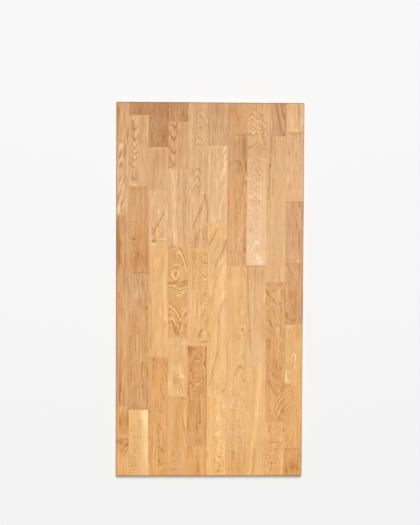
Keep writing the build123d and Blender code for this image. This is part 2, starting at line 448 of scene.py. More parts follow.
        (217, 946, 7, 12, -25), (202, 1109, 7, 9, -16), (222, 1109, 7, 8, -17), (211, 1109, 6, 7, -11),
    )),
    "stave_d7": Stave("honey", streaky=0.2, streaks=(
        (171, 1114, 171, 1134, 5, 18),
    ), patches=(
        (198, 1155, 60, 90, -3, -40), (182, 1125, 15, 22, -10, -30), (187, 1167, 16, 8, 20, -10),
        (184, 1177, 14, 8, -12), (218, 1168, 22, 44, 0, 40),
    ), lines=(
        (5, -22, (202, 1124), (196, 1138), (190, 1146), (182, 1153)),
        (5, 18, (196, 1128), (190, 1140), (184, 1148)),
    )),

    "stave_e1": Stave("sand", streaky=0.24, arches=(
        Arches(270, (22, 44, 63, 80, 97, 115, 132, 156), -1.5, 26, 4.5, -0.21, blunt=3.5, drift=-0.06,
            rough=6),
        Arches(270, (33, 54, 72, 89, 106, 124, 144), -1.5, 24, 4.5, 0.15, blunt=3.5, drift=-0.06, rough=6),
        Arches(260, (212, 239, 266), -1.7, 20, 5, -0.38, blunt=3, drift=-0.08, rough=4),
        Arches(260, (222, 249), -1.7, 15, 5, 0.2, blunt=3, drift=-0.08, rough=4),
    ), streaks=(
        (234, 16, 234, 170, 9, 8, 10), (285, 130, 287, 190, 6, 10), (293, 150, 292, 200, 5, -14),
        (240, 60, 239, 110, 6, 5, 30),
    ), patches=(
        (245, 160, 10, 30, 0, -50), (293, 55, 5, 9, -16), (285, 75, 8, 8, -12), (246, 180, 6, 10, 24),
        (262, 40, 70, 120, -15, -30), (243, 252, 20, 50, 12, -30),
    ), lines=(
        (4, 20, (281, 50), (288, 58), (290, 70)), (5, -16, (254, 190), (248, 212), (242, 232)),
    )),
    "stave_e2": Stave("ash", streaks=(
        (267, 277, 262, 306, 6, -23), (261, 279, 257, 314, 6, 18), (246, 288, 243, 334, 7, 16),
        (236, 282, 236, 334, 5, -14), (241, 326, 236, 404, 6, 16), (254, 350, 249, 374, 6, 12),
        (253, 396, 254, 462, 6, -19), (247, 436, 246, 466, 6, -21), (250, 396, 249, 448, 4, 19),
        (292, 355, 292, 386, 5, -18, 30), (236, 400, 237, 440, 7, 7), (287, 396, 292, 420, 5, -12),
    ), patches=(
        (247, 281, 7, 11, -18), (284, 345, 14, 80, 11, -40), (280, 412, 12, 20, -14, 40),
        (279, 434, 7, 11, -18, -50), (286, 430, 13, 28, -14), (266, 440, 26, 44, -4, -60),
        (250, 463, 24, 7, -19), (262, 320, 10, 40, 0, -30), (281, 302, 20, 46, 9),
        (262, 440, 22, 46, -8, 20),
    ), lines=(
        (7, -32, (284, 290), (278, 314), (271, 338), (262, 354)),
        (7, -28, (262, 354), (255, 374), (249, 404)), (6, -19, (284, 292), (289, 322), (292, 360)),
        (6, -17, (285, 395), (268, 412), (258, 428), (254, 444), (253, 461)),
    )),
    "stave_e3": Stave("straw", streaky=0.24, arches=(
        Arches(286, (485, 513, 557), 1.2, 12, 6, -0.3, blunt=4),
        Arches(287, (565,), 1.2, 9, 5, 0.5, blunt=4),
    ), rings=(
        Rings(290, 486, 12.5, 1.5, 62, 474, 650, 0.16, blunt=7, rough=5),
    ), streaks=(
        (240, 470, 262, 500, 6, -12, 20), (240, 600, 240, 660, 5, 15), (280, 640, 281, 660, 5, 20, 20),
        (276, 604, 276, 660, 6, -18, 30), (292, 712, 293, 730, 5, -38), (290, 686, 288, 720, 7, -22),
        (270, 640, 269, 720, 6, 10),
    ), patches=(
        (283, 530, 12, 24, 10, 30), (282, 667, 9, 6, -31), (280, 678, 6, 15, -38), (286, 612, 6, 14, -30),
        (293, 768, 5, 9, -24), (250, 755, 24, 30, 0, 30), (262, 500, 64, 80, -12, -20),
        (272, 570, 40, 110, -7), (243, 672, 20, 110, 9, -30),
    ), lines=(
        (5, -25, (250, 606), (258, 634), (258, 692)), (5, 20, (244, 596), (252, 630), (252, 680)),
        (5, -43, (268, 752), (271, 736), (277, 728), (290, 724)), (4, -25, (268, 752), (266, 778)),
        (5, -40, (274, 772), (284, 764), (293, 766)), (4, 20, (276, 742), (284, 736), (290, 742)),
    )),
    "stave_e4": Stave("chestnut", fleck=0.16, curl=1.2, rings=(
        Rings(264, 903, 7.4, -0.9, 26, 904, 944, 0.4, rough=2),
    ), streaks=(
        (279, 790, 280, 822, 4, -22), (252, 862, 247, 880, 5, -26), (232, 902, 231, 944, 6, -28),
        (236, 898, 242, 938, 6, 18), (244, 926, 240, 954, 6, 14), (236, 950, 240, 1004, 5, -20),
        (270, 930, 274, 988, 6, 20), (266, 956, 268, 1004, 6, -28), (269, 1026, 268, 1082, 5, 20),
        (284, 915, 285, 1100, 9, 5, 50), (289, 1005, 289, 1098, 4, -22), (231, 1005, 233, 1056, 7, -22),
        (240, 850, 241, 862, 6, -30), (236, 889, 245, 900, 5, -30), (250, 902, 246, 914, 4, -16),
        (265, 902, 272, 905, 5, -24),
    ), patches=(
        (232, 783, 9, 10, -60), (237, 796, 22, 40, -30, -90), (248, 788, 18, 18, -20),
        (256, 850, 40, 90, 0, 0, 80), (288, 790, 9, 13, -17), (286, 836, 7, 15, -25), (283, 815, 5, 12, 16),
        (282, 848, 6, 10, 20), (286, 866, 7, 9, 16), (241, 850, 7, 20, -30), (247, 841, 6, 9, -17),
        (259, 848, 8, 8, -21), (271, 838, 5, 12, -17), (271, 860, 4, 13, -19), (281, 885, 9, 9, -19),
        (264, 826, 6, 6, 20), (237, 903, 9, 8, -16), (243, 914, 12, 13, -20, -40), (235, 955, 9, 11, -21),
        (268, 973, 5, 9, 20), (272, 938, 7, 10, 14), (269, 1025, 7, 18, -34), (261, 1043, 8, 11, -22),
        (266, 1060, 5, 15, -20), (269, 1082, 7, 11, -24), (261, 1087, 7, 7, -19), (268, 1097, 6, 8, -15),
        (248, 970, 20, 60, -6, 10), (261, 856, 7, 16, 14), (243, 808, 28, 60, 0, -50),
        (282, 800, 20, 60, 6, -10), (261, 915, 40, 50, -7), (284, 836, 22, 90, 12, -40),
    ), lines=(
        (5, -26, (234, 894), (244, 904), (253, 908)), (5, 44, (246, 921), (254, 911), (264, 900)),
        (4, 26, (264, 900), (274, 910)), (5, -26, (254, 1002), (260, 1020), (256, 1034), (262, 1046)),
        (4, -24, (262, 801), (272, 804), (280, 812), (284, 826), (286, 842)),
        (4, -24, (286, 800), (289, 815), (287, 832), (284, 843)),
        (4, -26, (246, 842), (252, 830), (259, 822), (266, 820), (272, 826), (275, 838)),
        (4, -24, (252, 850), (256, 840), (262, 834), (268, 838), (271, 848)),
        (4, -22, (240, 846), (246, 828), (254, 814), (263, 810)),
        (4, -24, (243, 866), (249, 878), (257, 884), (265, 878), (272, 864)),
        (4, -22, (240, 880), (248, 890), (258, 896), (268, 890), (278, 874)),
        (4, 20, (248, 846), (254, 835), (261, 828), (267, 829), (272, 840)),
        (4, 20, (249, 868), (256, 876), (262, 876), (268, 868)),
        (4, 20, (242, 884), (250, 896), (260, 901), (272, 895)),
        (4, -26, (247, 927), (256, 916), (266, 906)),
    )),
    "stave_e5": Stave("toffee", streaks=(
        (231, 1102, 232, 1154, 6, -13), (262, 1164, 262, 1194, 5, -18), (267, 1158, 266, 1194, 5, -19),
        (283, 1126, 284, 1184, 5, -11), (270, 1104, 271, 1146, 6, 14),
    ), patches=(
        (260, 1137, 11, 11, -19, 10), (240, 1113, 18, 22, -11), (244, 1150, 12, 26, 8, -30),
        (276, 1160, 10, 60, 4, 30),
    )),

    "stave_f1": Stave("tan", streaky=0.3, ring_lines=0.2, streaks=(
        (312, 54, 312, 92, 4, -23), (319, 64, 319, 96, 4, -23), (308, 104, 308, 138, 4, -36),
        (305, 104, 305, 134, 4, 26), (320, 84, 320, 124, 7, 3, 20), (297, 54, 296, 108, 4, -21),
        (318, 4, 318, 44, 9, -16), (340, 14, 340, 94, 8, -8), (352, 14, 352, 104, 7, 10),
        (299, 96, 299, 138, 6, 10), (330, 50, 330, 120, 4, 10),
    ), patches=(
        (324, 70, 70, 150, 0, -40), (345, 133, 7, 6, -14), (314, 26, 44, 60, -15, -20),
        (324, 70, 30, 50, -7),
    )),
    "stave_f2": Stave("pale_rose", streaky=0.26, streaks=(
        (350, 138, 340, 172, 5, 25), (355, 148, 342, 176, 5, -28), (356, 154, 341, 192, 5, 30),
        (356, 166, 345, 190, 4, -20), (356, 178, 344, 212, 6, 31), (346, 186, 336, 214, 5, -13),
        (353, 203, 342, 228, 7, 33), (342, 220, 333, 254, 8, 18), (346, 292, 338, 322, 6, 20),
        (350, 296, 344, 334, 7, -10), (321, 360, 315, 386, 6, 16), (301, 220, 301, 316, 6, -21),
        (296, 146, 297, 204, 6, 10), (321, 170, 322, 236, 6, -3, 40), (293, 306, 292, 386, 5, -15, 20),
        (352, 225, 346, 258, 5, -10), (312, 140, 312, 380, 8, -3, 30), (326, 250, 322, 330, 6, 3, 20),
    ), patches=(
        (343, 206, 9, 6, -9), (306, 285, 9, 36, -4), (331, 150, 4, 16, -8), (336, 152, 3, 16, -7),
        (349, 262, 6, 8, 13), (324, 165, 66, 70, -9),
    ), lines=(
        (7, 28, (338, 316), (333, 336), (330, 370)),
    )),
    "stave_f3": Stave("cream", streaky=0.24, streaks=(
        (315, 490, 313, 518, 5, -19), (346, 560, 331, 604, 11, 12), (346, 594, 341, 636, 9, 22),
        (334, 600, 331, 630, 5, -15), (324, 664, 324, 686, 5, -15), (303, 620, 303, 646, 5, -24),
        (299, 734, 299, 754, 5, -22), (311, 776, 305, 836, 6, 12), (317, 798, 308, 864, 6, 15, 10),
        (322, 938, 354, 938, 5, -17), (306, 500, 305, 600, 6, -5, 20), (338, 660, 334, 700, 5, 10),
        (311, 640, 311, 780, 6, 7),
    ), patches=(
        (314, 440, 6, 6, -13), (330, 499, 8, 9, -10), (347, 535, 15, 100, 19), (342, 900, 14, 8, -9),
        (342, 705, 11, 30, 5), (342, 838, 11, 24, 3, -50), (310, 415, 8, 40, 7),
        (324, 485, 70, 240, 0, -70), (334, 425, 40, 90, -10), (305, 812, 22, 46, -8),
        (324, 462, 60, 60, -10), (343, 665, 24, 150, 0, -50),
    ), lines=(
        (6, -32, (321, 400), (316, 415), (309, 433), (302, 448), (298, 460)),
        (6, -20, (321, 460), (313, 472), (309, 490), (308, 514)),
        (6, -34, (354, 436), (347, 460), (340, 476), (335, 490), (327, 502), (321, 513), (320, 524)),
        (5, -17, (320, 520), (318, 536), (315, 560)),
        (5, -20, (339, 518), (328, 545), (320, 572), (318, 596)),
        (5, -14, (351, 498), (341, 520), (332, 533)),
        (6, -26, (344, 638), (334, 665), (329, 690), (328, 704)),
        (6, -22, (329, 700), (330, 740), (328, 775), (326, 804)),
        (6, -27, (325, 800), (320, 825), (314, 845), (309, 870), (304, 892), (299, 908)),
        (5, -20, (297, 680), (296, 700), (292, 720)),
        (5, -24, (337, 914), (342, 922), (348, 922), (351, 911)),
    )),
    "stave_f4": Stave("ivory", fleck=0.24, streaky=0.24, rings=(
        Rings(332, 1060, 11, 1.0, 24, 1060, 1190, 0.15, rough=6),
    ), streaks=(
        (330, 952, 326, 994, 6, -16), (330, 965, 325, 990, 9, 16), (346, 960, 345, 990, 5, 16),
        (329, 996, 324, 1024, 7, 26), (337, 1049, 331, 1064, 5, 34), (327, 1096, 335, 1120, 5, 32),
        (343, 1090, 351, 1106, 6, 30), (327, 1138, 332, 1160, 6, 30), (337, 1156, 325, 1194, 6, -26, 50),
        (292, 1116, 291, 1144, 5, -24, 20), (320, 1104, 323, 1146, 7, 14), (341, 1098, 347, 1114, 4, -30),
    ), patches=(
        (338, 1110, 30, 140, 0, 0, 160), (334, 941, 16, 6, 34), (333, 953, 7, 6, 40), (340, 947, 7, 5, 24),
        (312, 975, 18, 60, -2, 50), (349, 983, 7, 13, -11), (325, 1063, 9, 13, 40), (332, 1053, 4, 7, -19),
        (334, 1135, 17, 7, -28, 40), (331, 1158, 6, 7, -22), (342, 1183, 7, 9, -19, 30),
        (340, 1155, 18, 44, -5, 60), (347, 1130, 6, 15, 26), (308, 1151, 7, 9, -14), (343, 1125, 8, 4, -19),
        (303, 1100, 14, 120, 2, 30), (345, 968, 20, 50, 10),
    )),

    "stave_g1": Stave("tan", streaky=0.22, streaks=(
        (407, 48, 411, 92, 10, -3, 40), (372, 30, 372, 50, 6, 3, 40), (387, 44, 387, 60, 4, -15),
        (357, 10, 357, 95, 5, -9),
    ), patches=(
        (386, 50, 60, 110, 3, 40), (386, 86, 60, 12, 6, 40), (370, 22, 24, 24, -8), (370, 26, 26, 50, -14),
        (386, 48, 90, 170, -8, 25),
    )),
    "stave_g2": Stave("clay", streaky=0.26, wave=4, curl=1.2, knot=(399, 194, 3), streaks=(
        (412, 80, 412, 200, 11, -51, -10), (393, 108, 393, 134, 5, -24), (370, 100, 370, 130, 6, -15),
        (415, 186, 415, 234, 6, -59), (409, 232, 417, 232, 4, -26), (411, 243, 415, 270, 6, -51),
        (409, 262, 409, 288, 4, 24), (406, 294, 402, 312, 4, 33), (380, 260, 381, 304, 6, -26),
        (384, 304, 385, 340, 7, -24, 20), (414, 314, 414, 344, 5, -40), (407, 346, 408, 396, 6, -31),
        (388, 346, 388, 394, 6, -22), (367, 370, 367, 404, 6, -20), (361, 306, 362, 330, 5, -26),
        (415, 462, 415, 480, 5, -40), (404, 432, 407, 452, 5, -26), (387, 400, 385, 444, 7, -18, 30),
        (384, 436, 386, 474, 6, -24), (397, 468, 403, 488, 6, -35), (370, 452, 374, 484, 6, -18),
        (377, 490, 378, 518, 5, -22), (407, 488, 414, 520, 7, -29), (364, 476, 365, 518, 6, 18),
        (379, 436, 379, 484, 6, 13), (398, 330, 398, 400, 6, 13), (375, 330, 374, 400, 5, 11),
    ), patches=(
        (386, 290, 44, 120, 2, 30), (396, 100, 46, 6, -24), (372, 110, 22, 20, 0, -30),
        (386, 184, 9, 8, -21), (399, 194, 8, 10, -44, -40), (406, 192, 8, 9, 22, -70),
        (413, 240, 7, 12, 29, -40), (394, 212, 44, 38, -9, 20), (401, 302, 5, 9, -17),
        (404, 310, 5, 8, -21), (390, 290, 5, 12, 20), (391, 350, 7, 10, -21), (398, 437, 6, 11, 18, -40),
        (382, 270, 50, 60, 2, 10), (386, 160, 66, 190, -14, -70), (386, 455, 64, 170, 13),
        (404, 400, 30, 150, 12), (386, 130, 58, 60, -8), (368, 310, 24, 50, 8),
    ), lines=(
        (5, -26, (376, 180), (386, 182), (396, 188)),
        (5, -29, (407, 232), (404, 255), (403, 280), (405, 298)),
        (6, -33, (411, 398), (413, 420), (414, 450), (412, 484)),
    )),
    "stave_g3": Stave("straw", streaky=0.16, streaks=(
        (364, 526, 363, 566, 5, -16), (411, 536, 411, 568, 4, -18), (405, 523, 405, 548, 4, -16),
        (408, 654, 406, 694, 8, 20), (413, 668, 411, 700, 8, -14), (358, 560, 358, 690, 5, 4),
    ), patches=(
        (388, 555, 26, 80, 16, 10), (402, 553, 13, 24, 2, 50), (403, 622, 11, 13, -18),
        (408, 637, 6, 11, -7), (405, 708, 9, 8, -17), (378, 660, 14, 70, 0, 50), (367, 695, 9, 9, -7, 50),
        (391, 666, 11, 11, -10, 20), (376, 545, 36, 50, -11),
    )),
    "stave_g4": Stave("straw", fleck=0.16, streaky=0.2, streaks=(
        (388, 711, 385, 776, 7, -16, 50), (406, 708, 407, 744, 4, -25), (398, 742, 396, 764, 5, -28),
        (412, 704, 414, 734, 5, 21), (376, 946, 376, 968, 5, 23), (388, 1002, 390, 1024, 5, 28),
        (384, 1000, 386, 1020, 5, -23), (415, 1102, 414, 1170, 5, -25), (379, 1104, 379, 1156, 9, -21, 50),
        (384, 740, 382, 810, 5, 11), (367, 710, 367, 960, 12, 11, -30),
    ), patches=(
        (386, 1070, 56, 160, 0, 0, 90), (400, 717, 9, 11, 18, -70), (407, 728, 8, 10, -33),
        (404, 800, 9, 8, 21), (400, 793, 5, 7, -14), (410, 814, 6, 11, -30), (387, 825, 6, 7, -14),
        (382, 872, 5, 7, -17), (413, 891, 6, 10, -29), (376, 884, 11, 34, -2, -60),
        (392, 900, 9, 13, -5, -50), (377, 938, 8, 9, -16), (391, 942, 10, 11, -17), (388, 956, 6, 9, -16),
        (410, 935, 15, 22, 16, -10), (413, 955, 8, 9, -16), (385, 977, 6, 9, -20), (405, 976, 6, 7, -23),
        (372, 988, 17, 7, -28, 50), (375, 982, 13, 5, 16, 60), (405, 998, 9, 8, -16),
        (394, 1020, 7, 9, -18), (377, 1052, 6, 9, -20), (394, 1040, 6, 13, -17), (410, 1043, 6, 9, -18),
        (395, 1080, 9, 7, -16), (373, 1088, 6, 12, 7, 70), (394, 1055, 7, 9, 16, -40),
        (415, 1095, 5, 10, -20), (363, 1122, 8, 9, -17), (402, 1115, 9, 11, -11, -20),
        (378, 1178, 9, 14, -7, 80), (392, 1180, 24, 26, -2, 40), (364, 1162, 9, 14, 7, 10),
        (386, 1168, 66, 90, -13, 50), (405, 880, 22, 50, 10), (386, 980, 60, 60, 8), (386, 950, 70, 440, 4),
    ), lines=(
        (5, -25, (382, 874), (388, 856), (393, 845), (401, 839)),
        (5, -34, (395, 852), (402, 845), (408, 850), (412, 858)),
        (5, -34, (404, 868), (408, 885), (413, 893)),
    )),

    "stave_h1": Stave("sand", streaky=0.16, rings=(
        Rings(440, 20, 8.5, -0.8, 60, 8, 112, 0.12, rough=7),
        Rings(452, 112, 8.0, -1.3, 60, 112, 176, 0.16, rough=5),
    ), streaks=(
        (442, 4, 447, 20, 6, -10),
    ), patches=(
        (434, 120, 24, 30, 6, 60), (457, 154, 6, 6, -20), (440, 154, 5, 6, -16),
        (457, 150, 16, 40, -14, -40), (430, 165, 16, 24, -2, -40), (470, 20, 18, 30, 0, 20),
        (476, 165, 8, 24, 6), (452, 10, 60, 18, -14),
    ), lines=(
        (5, -26, (421, 37), (426, 27), (432, 22), (437, 23), (443, 30)),
        (5, -26, (443, 16), (453, 34), (459, 39), (463, 48)),
        (5, -26, (421, 54), (424, 45), (431, 39), (437, 43), (442, 51)),
        (5, 20, (424, 61), (428, 50), (432, 46), (438, 52), (445, 60), (452, 63)),
        (4, -30, (431, 50), (438, 59), (445, 66), (453, 69), (459, 74), (463, 83), (465, 93)),
        (4, 20, (436, 64), (444, 73), (453, 77), (459, 84), (463, 96)),
        (4, -32, (435, 74), (441, 81), (448, 85), (455, 89), (460, 97), (463, 105), (467, 115),
            (471, 125), (475, 137)), (4, 20, (446, 92), (454, 95), (459, 104), (463, 114), (468, 127)),
        (5, -36, (422, 103), (426, 99), (431, 100), (437, 105), (442, 103), (446, 99), (452, 101)),
        (5, 20, (422, 96), (428, 92), (436, 96), (444, 92)), (4, -20, (446, 40), (452, 50), (458, 58)),
        (5, -28, (463, 39), (468, 57), (474, 65), (478, 73)), (4, 20, (466, 44), (471, 56), (477, 63)),
        (5, -26, (465, 70), (470, 83), (477, 96)), (4, 22, (462, 62), (467, 70), (473, 80), (478, 84)),
        (4, -22, (466, 92), (471, 105), (474, 113)), (4, 20, (471, 90), (475, 102), (478, 112)),
        (5, -34, (421, 141), (427, 143), (435, 141), (442, 135), (448, 127), (452, 118)),
        (4, 18, (430, 148), (440, 143), (449, 133)), (4, -20, (440, 152), (447, 143), (455, 133)),
        (5, -24, (460, 131), (465, 141), (471, 149), (478, 152)),
        (4, 20, (463, 132), (469, 142), (476, 146)),
    )),
    "stave_h2": Stave("pearl", streaky=0.1, fleck=0.1, rings=(
        Rings(450, 406, 8.2, -1.5, 30, 404, 508, 0.3, rough=3),
        Rings(440, 340, 8.0, -0.9, 44, 300, 400, 0.13, rough=6),
        Rings(425, 200, 8.4, -0.7, 50, 180, 290, 0.16, rough=6),
    ), streaks=(
        (429, 392, 429, 416, 5, -41), (469, 418, 474, 430, 5, -17),
    ), patches=(
        (449, 438, 6, 5, -16), (458, 510, 18, 15, 22), (430, 450, 12, 24, 0, 30),
        (448, 505, 56, 26, 5, -10), (430, 300, 14, 14, 12), (440, 260, 30, 12, 5), (449, 195, 70, 90, -20),
        (452, 258, 60, 60, -8), (440, 435, 60, 70, 6, -20), (449, 492, 62, 50, 10),
    ), lines=(
        (4, 22, (434, 183), (447, 183), (456, 188), (466, 198)),
        (4, -26, (436, 181), (448, 180), (457, 185), (466, 195)),
        (4, -28, (438, 187), (448, 187), (456, 192), (464, 202)),
        (4, 19, (440, 191), (449, 191), (458, 199), (468, 212)),
        (4, -26, (444, 195), (452, 198), (460, 210), (469, 221)),
        (4, 19, (442, 201), (450, 204), (458, 214), (467, 230)),
        (4, -26, (442, 206), (452, 213), (460, 223), (466, 235), (471, 247)),
        (4, -22, (440, 215), (449, 223), (456, 235), (460, 246)),
        (4, 17, (438, 219), (447, 227), (454, 240)), (4, -19, (438, 225), (447, 233), (452, 250)),
        (4, -14, (420, 222), (433, 220)), (4, -14, (420, 232), (434, 229)),
        (4, -12, (420, 210), (434, 209)), (4, -19, (421, 272), (433, 273), (441, 281), (450, 290)),
        (4, 19, (421, 267), (434, 268), (445, 279), (455, 289)),
        (4, -22, (437, 268), (444, 274), (452, 283), (458, 291)),
        (5, 20, (424, 282), (436, 286), (446, 295), (460, 303), (465, 309)),
        (5, -30, (427, 285), (435, 290), (440, 296), (448, 300), (456, 307), (463, 320)),
        (4, -24, (431, 309), (438, 315), (449, 312)), (4, -17, (430, 328), (437, 324), (446, 326)),
        (4, -21, (455, 315), (460, 324), (464, 332)), (4, 21, (424, 318), (427, 326), (424, 334)),
        (5, 40, (433, 477), (441, 456), (449, 444), (458, 455)),
        (4, 21, (440, 494), (449, 482), (458, 491)),
        (5, 26, (447, 507), (453, 493), (460, 499), (467, 512)),
        (5, 26, (416, 471), (421, 465), (426, 455)),
    )),
    "stave_h3": Stave("ash", streaky=0.22, ring_lines=0.2, streaks=(
        (439, 798, 443, 842, 6, -17), (421, 595, 420, 664, 5, 13), (470, 526, 470, 576, 6, -19),
        (456, 534, 456, 570, 5, -13), (439, 524, 440, 566, 5, -10), (475, 594, 475, 646, 4, 23),
        (458, 725, 458, 806, 7, 10), (445, 640, 445, 720, 5, -8, 20),
    ), patches=(
        (447, 522, 60, 5, -32), (424, 695, 6, 7, 23), (436, 650, 11, 70, 0, -50), (456, 815, 9, 30, -10),
        (450, 560, 44, 90, -8), (472, 826, 9, 13, -4, -60), (466, 839, 8, 8, 23), (450, 812, 66, 90, 16),
        (466, 762, 30, 60, 6), (449, 680, 80, 380, 5, 22),
    ), lines=(
        (5, -30, (422, 522), (423, 560), (425, 620), (426, 654)),
        (5, -32, (426, 648), (429, 690), (431, 730)), (5, -27, (431, 722), (433, 770), (439, 804)),
    )),
    "stave_h4": Stave("cream", streaky=0.16, streaks=(
        (445, 846, 446, 880, 9, -14), (447, 1104, 446, 1134, 5, -23), (425, 1114, 423, 1156, 6, 2, -50),
        (426, 880, 427, 960, 6, -4, 20), (473, 900, 473, 930, 6, -5, 10),
    ), patches=(
        (432, 848, 28, 5, -14), (446, 892, 7, 16, -19, 20), (473, 856, 11, 24, -12),
        (466, 1080, 26, 140, -2, 10), (428, 1010, 14, 40, 2, 10), (430, 1140, 26, 140, -17, 50),
        (468, 1070, 24, 50, 8),
    ), lines=(
        (9, 20, (466, 846), (463, 900), (460, 940), (455, 972), (453, 1004)),
        (9, 17, (454, 996), (449, 1030), (443, 1066), (438, 1098)),
        (9, 18, (438, 1092), (436, 1140), (430, 1204)), (6, -17, (446, 1130), (441, 1165), (438, 1196)),
    )),

    "stave_i1": Stave("smoked", streaky=0.26, streaks=(
        (483, -5, 484, 107, 8, 30, 50), (491, 0, 491, 107, 9, 16, 20), (533, 36, 533, 56, 5, -31),
        (536, 24, 540, 104, 7, -26), (536, -4, 532, 12, 6, -31), (500, 64, 500, 94, 4, -17),
        (514, 54, 514, 98, 5, -12), (506, 10, 508, 60, 5, 7),
    ), patches=(
        (506, 90, 22, 34, -9, -30), (491, 70, 14, 70, 3, 30), (524, 103, 18, 8, -17, 20),
        (493, 28, 20, 50, -10), (531, 28, 20, 50, -6, -30),
    ), lines=(
        (7, -35, (508, -4), (512, 20), (516, 40), (520, 60), (523, 74), (525, 86)),
        (8, -31, (525, 86), (529, 96), (534, 110)), (5, 12, (517, 6), (524, 46), (531, 84)),
        (6, -30, (522, -4), (527, 18), (530, 44)),
    )),
    "stave_i2": Stave("ash", streaky=0.2, streaks=(
        (494, 232, 491, 294, 5, 20), (493, 312, 493, 334, 7, -16), (516, 108, 516, 156, 10, 6, 10),
        (538, 425, 539, 526, 6, 14), (533, 522, 531, 572, 9, 16), (518, 526, 518, 556, 4, -16),
        (505, 150, 505, 200, 5, -8), (503, 380, 503, 560, 7, -5), (522, 300, 522, 420, 6, 5),
    ), patches=(
        (486, 272, 6, 10, -16), (500, 215, 16, 46, -2, -50), (521, 250, 20, 80, 0, 40),
        (488, 475, 8, 40, 4, 30), (514, 135, 64, 110, -14, -30), (516, 215, 56, 110, -7, -20),
    ), lines=(
        (7, -28, (496, 106), (495, 130), (493, 160), (490, 204)),
        (6, -30, (490, 196), (488, 225), (487, 255), (484, 308)),
        (6, -20, (498, 240), (499, 262), (497, 296)),
    )),
    "stave_i3": Stave("amber", streaky=0.26, wave=4, curl=1.6, fleck=0.1, rings=(
        Rings(517, 880, 11, 1.7, 40, 870, 930, 0.1, rough=3),
    ), streaks=(
        (482, 594, 493, 620, 6, -26), (500, 624, 508, 638, 6, -34), (480, 638, 487, 648, 6, -30),
        (482, 665, 492, 673, 6, -32), (502, 660, 511, 692, 6, -40), (517, 650, 519, 696, 5, -18),
        (512, 655, 514, 690, 4, 16), (532, 716, 532, 752, 6, -30), (540, 732, 543, 754, 6, -18),
        (522, 752, 522, 780, 6, -24), (537, 760, 541, 784, 6, -18), (516, 820, 517, 854, 5, -26),
        (505, 800, 505, 854, 7, -12), (500, 1000, 502, 1022, 7, -18), (524, 790, 524, 830, 8, 10, -10),
        (497, 800, 498, 860, 5, 6), (484, 570, 490, 588, 6, -20), (524, 590, 524, 628, 7, 16, -50),
        (497, 718, 498, 748, 6, -22), (493, 768, 493, 802, 6, -20), (533, 764, 533, 806, 5, -20),
        (526, 760, 527, 800, 5, 14), (508, 824, 508, 842, 5, -18), (527, 853, 537, 845, 6, -26),
        (484, 880, 483, 940, 5, -20),
    ), patches=(
        (526, 580, 15, 14, -24, 10), (487, 578, 8, 11, -21), (510, 598, 14, 9, -26), (496, 590, 10, 8, 14),
        (525, 644, 15, 9, -24), (498, 657, 6, 9, -20), (531, 665, 6, 14, -17), (519, 711, 18, 12, -24, 30),
        (486, 722, 6, 9, -17), (493, 730, 10, 22, -14, -50), (513, 746, 6, 9, -15), (490, 762, 16, 16, -26),
        (493, 781, 9, 14, -17), (536, 847, 9, 7, -22), (528, 856, 9, 9, -15), (493, 892, 8, 16, -22),
        (497, 870, 9, 16, 2, -60), (539, 989, 13, 17, -24), (511, 1020, 9, 7, -11), (526, 1013, 9, 18, -14),
        (500, 960, 24, 50, 6, 30), (500, 600, 14, 8, -5, 40), (521, 729, 12, 20, 16, -30),
        (512, 640, 70, 180, -3, -60), (532, 772, 22, 110, 12, -30), (493, 822, 24, 110, -8, -20),
        (536, 1010, 9, 18, 14), (531, 690, 22, 220, 10, -30),
    ), lines=(
        (6, -38, (481, 694), (491, 696), (495, 707), (499, 720)),
        (6, -26, (505, 866), (512, 877), (520, 882), (530, 886)),
        (5, -36, (493, 892), (498, 912), (505, 925), (512, 935), (516, 939)),
        (5, -30, (517, 938), (523, 932), (530, 923), (535, 911), (540, 897)),
        (5, -22, (508, 900), (514, 909), (520, 910), (526, 904)),
        (5, -26, (505, 1000), (510, 984), (514, 970), (520, 955), (533, 941)),
        (5, 26, (510, 1000), (515, 982), (520, 968), (528, 954), (540, 942)),
        (5, -36, (514, 1002), (520, 984), (525, 972), (532, 957), (542, 945)),
        (4, 20, (522, 1000), (528, 982), (535, 966)),
        (5, -28, (480, 588), (486, 607), (492, 618), (503, 628), (509, 638), (518, 644)),
        (4, -24, (527, 606), (533, 622), (541, 641)), (4, 16, (523, 598), (529, 618), (536, 638)),
        (4, -20, (533, 598), (536, 612), (541, 622)), (5, -20, (500, 650), (504, 662), (508, 680)),
        (4, 16, (490, 632), (497, 646), (503, 664), (506, 684)),
        (4, 18, (498, 694), (504, 708), (508, 724)), (4, -20, (480, 620), (486, 632), (496, 642)),
        (4, -20, (503, 716), (508, 732), (513, 748)), (4, 16, (484, 700), (490, 714), (494, 736)),
        (4, -18, (482, 820), (487, 846), (490, 876)),
        (4, -24, (526, 1022), (528, 1004), (533, 992), (541, 987)),
    )),
    "stave_i4": Stave("honey", fleck=0.34, streaky=0.16, curl=1.6, knot=(541, 1049, 3), rings=(
        Rings(515, 1110, 9, 1.1, 40, 1075, 1200, 0.24, rough=10),
    ), streaks=(
        (484, 1020, 485, 1096, 9, 24), (497, 1025, 496, 1060, 6, -22, 50), (521, 1102, 509, 1128, 4, -38),
        (540, 1084, 541, 1190, 9, 18, 10), (535, 1130, 535, 1190, 8, 12),
    ), patches=(
        (512, 1120, 34, 120, 0, 0, 120), (491, 1056, 14, 9, -14, 70), (541, 1049, 5, 13, -75),
        (529, 1081, 6, 8, 40), (512, 1108, 6, 7, 38), (526, 1135, 7, 6, 36), (506, 1120, 5, 9, 26),
        (497, 1118, 6, 10, -15), (516, 1147, 10, 7, -16), (498, 1160, 6, 16, -22),
        (519, 1167, 18, 9, 10, 80), (495, 1165, 7, 9, 28), (485, 1180, 9, 16, 18), (504, 1092, 5, 8, 20),
        (520, 1120, 6, 6, 20), (507, 1140, 5, 5, 20),
    ), lines=(
        (5, -34, (507, 1158), (500, 1170), (506, 1180)), (4, -26, (500, 1088), (508, 1094), (514, 1086)),
    )),

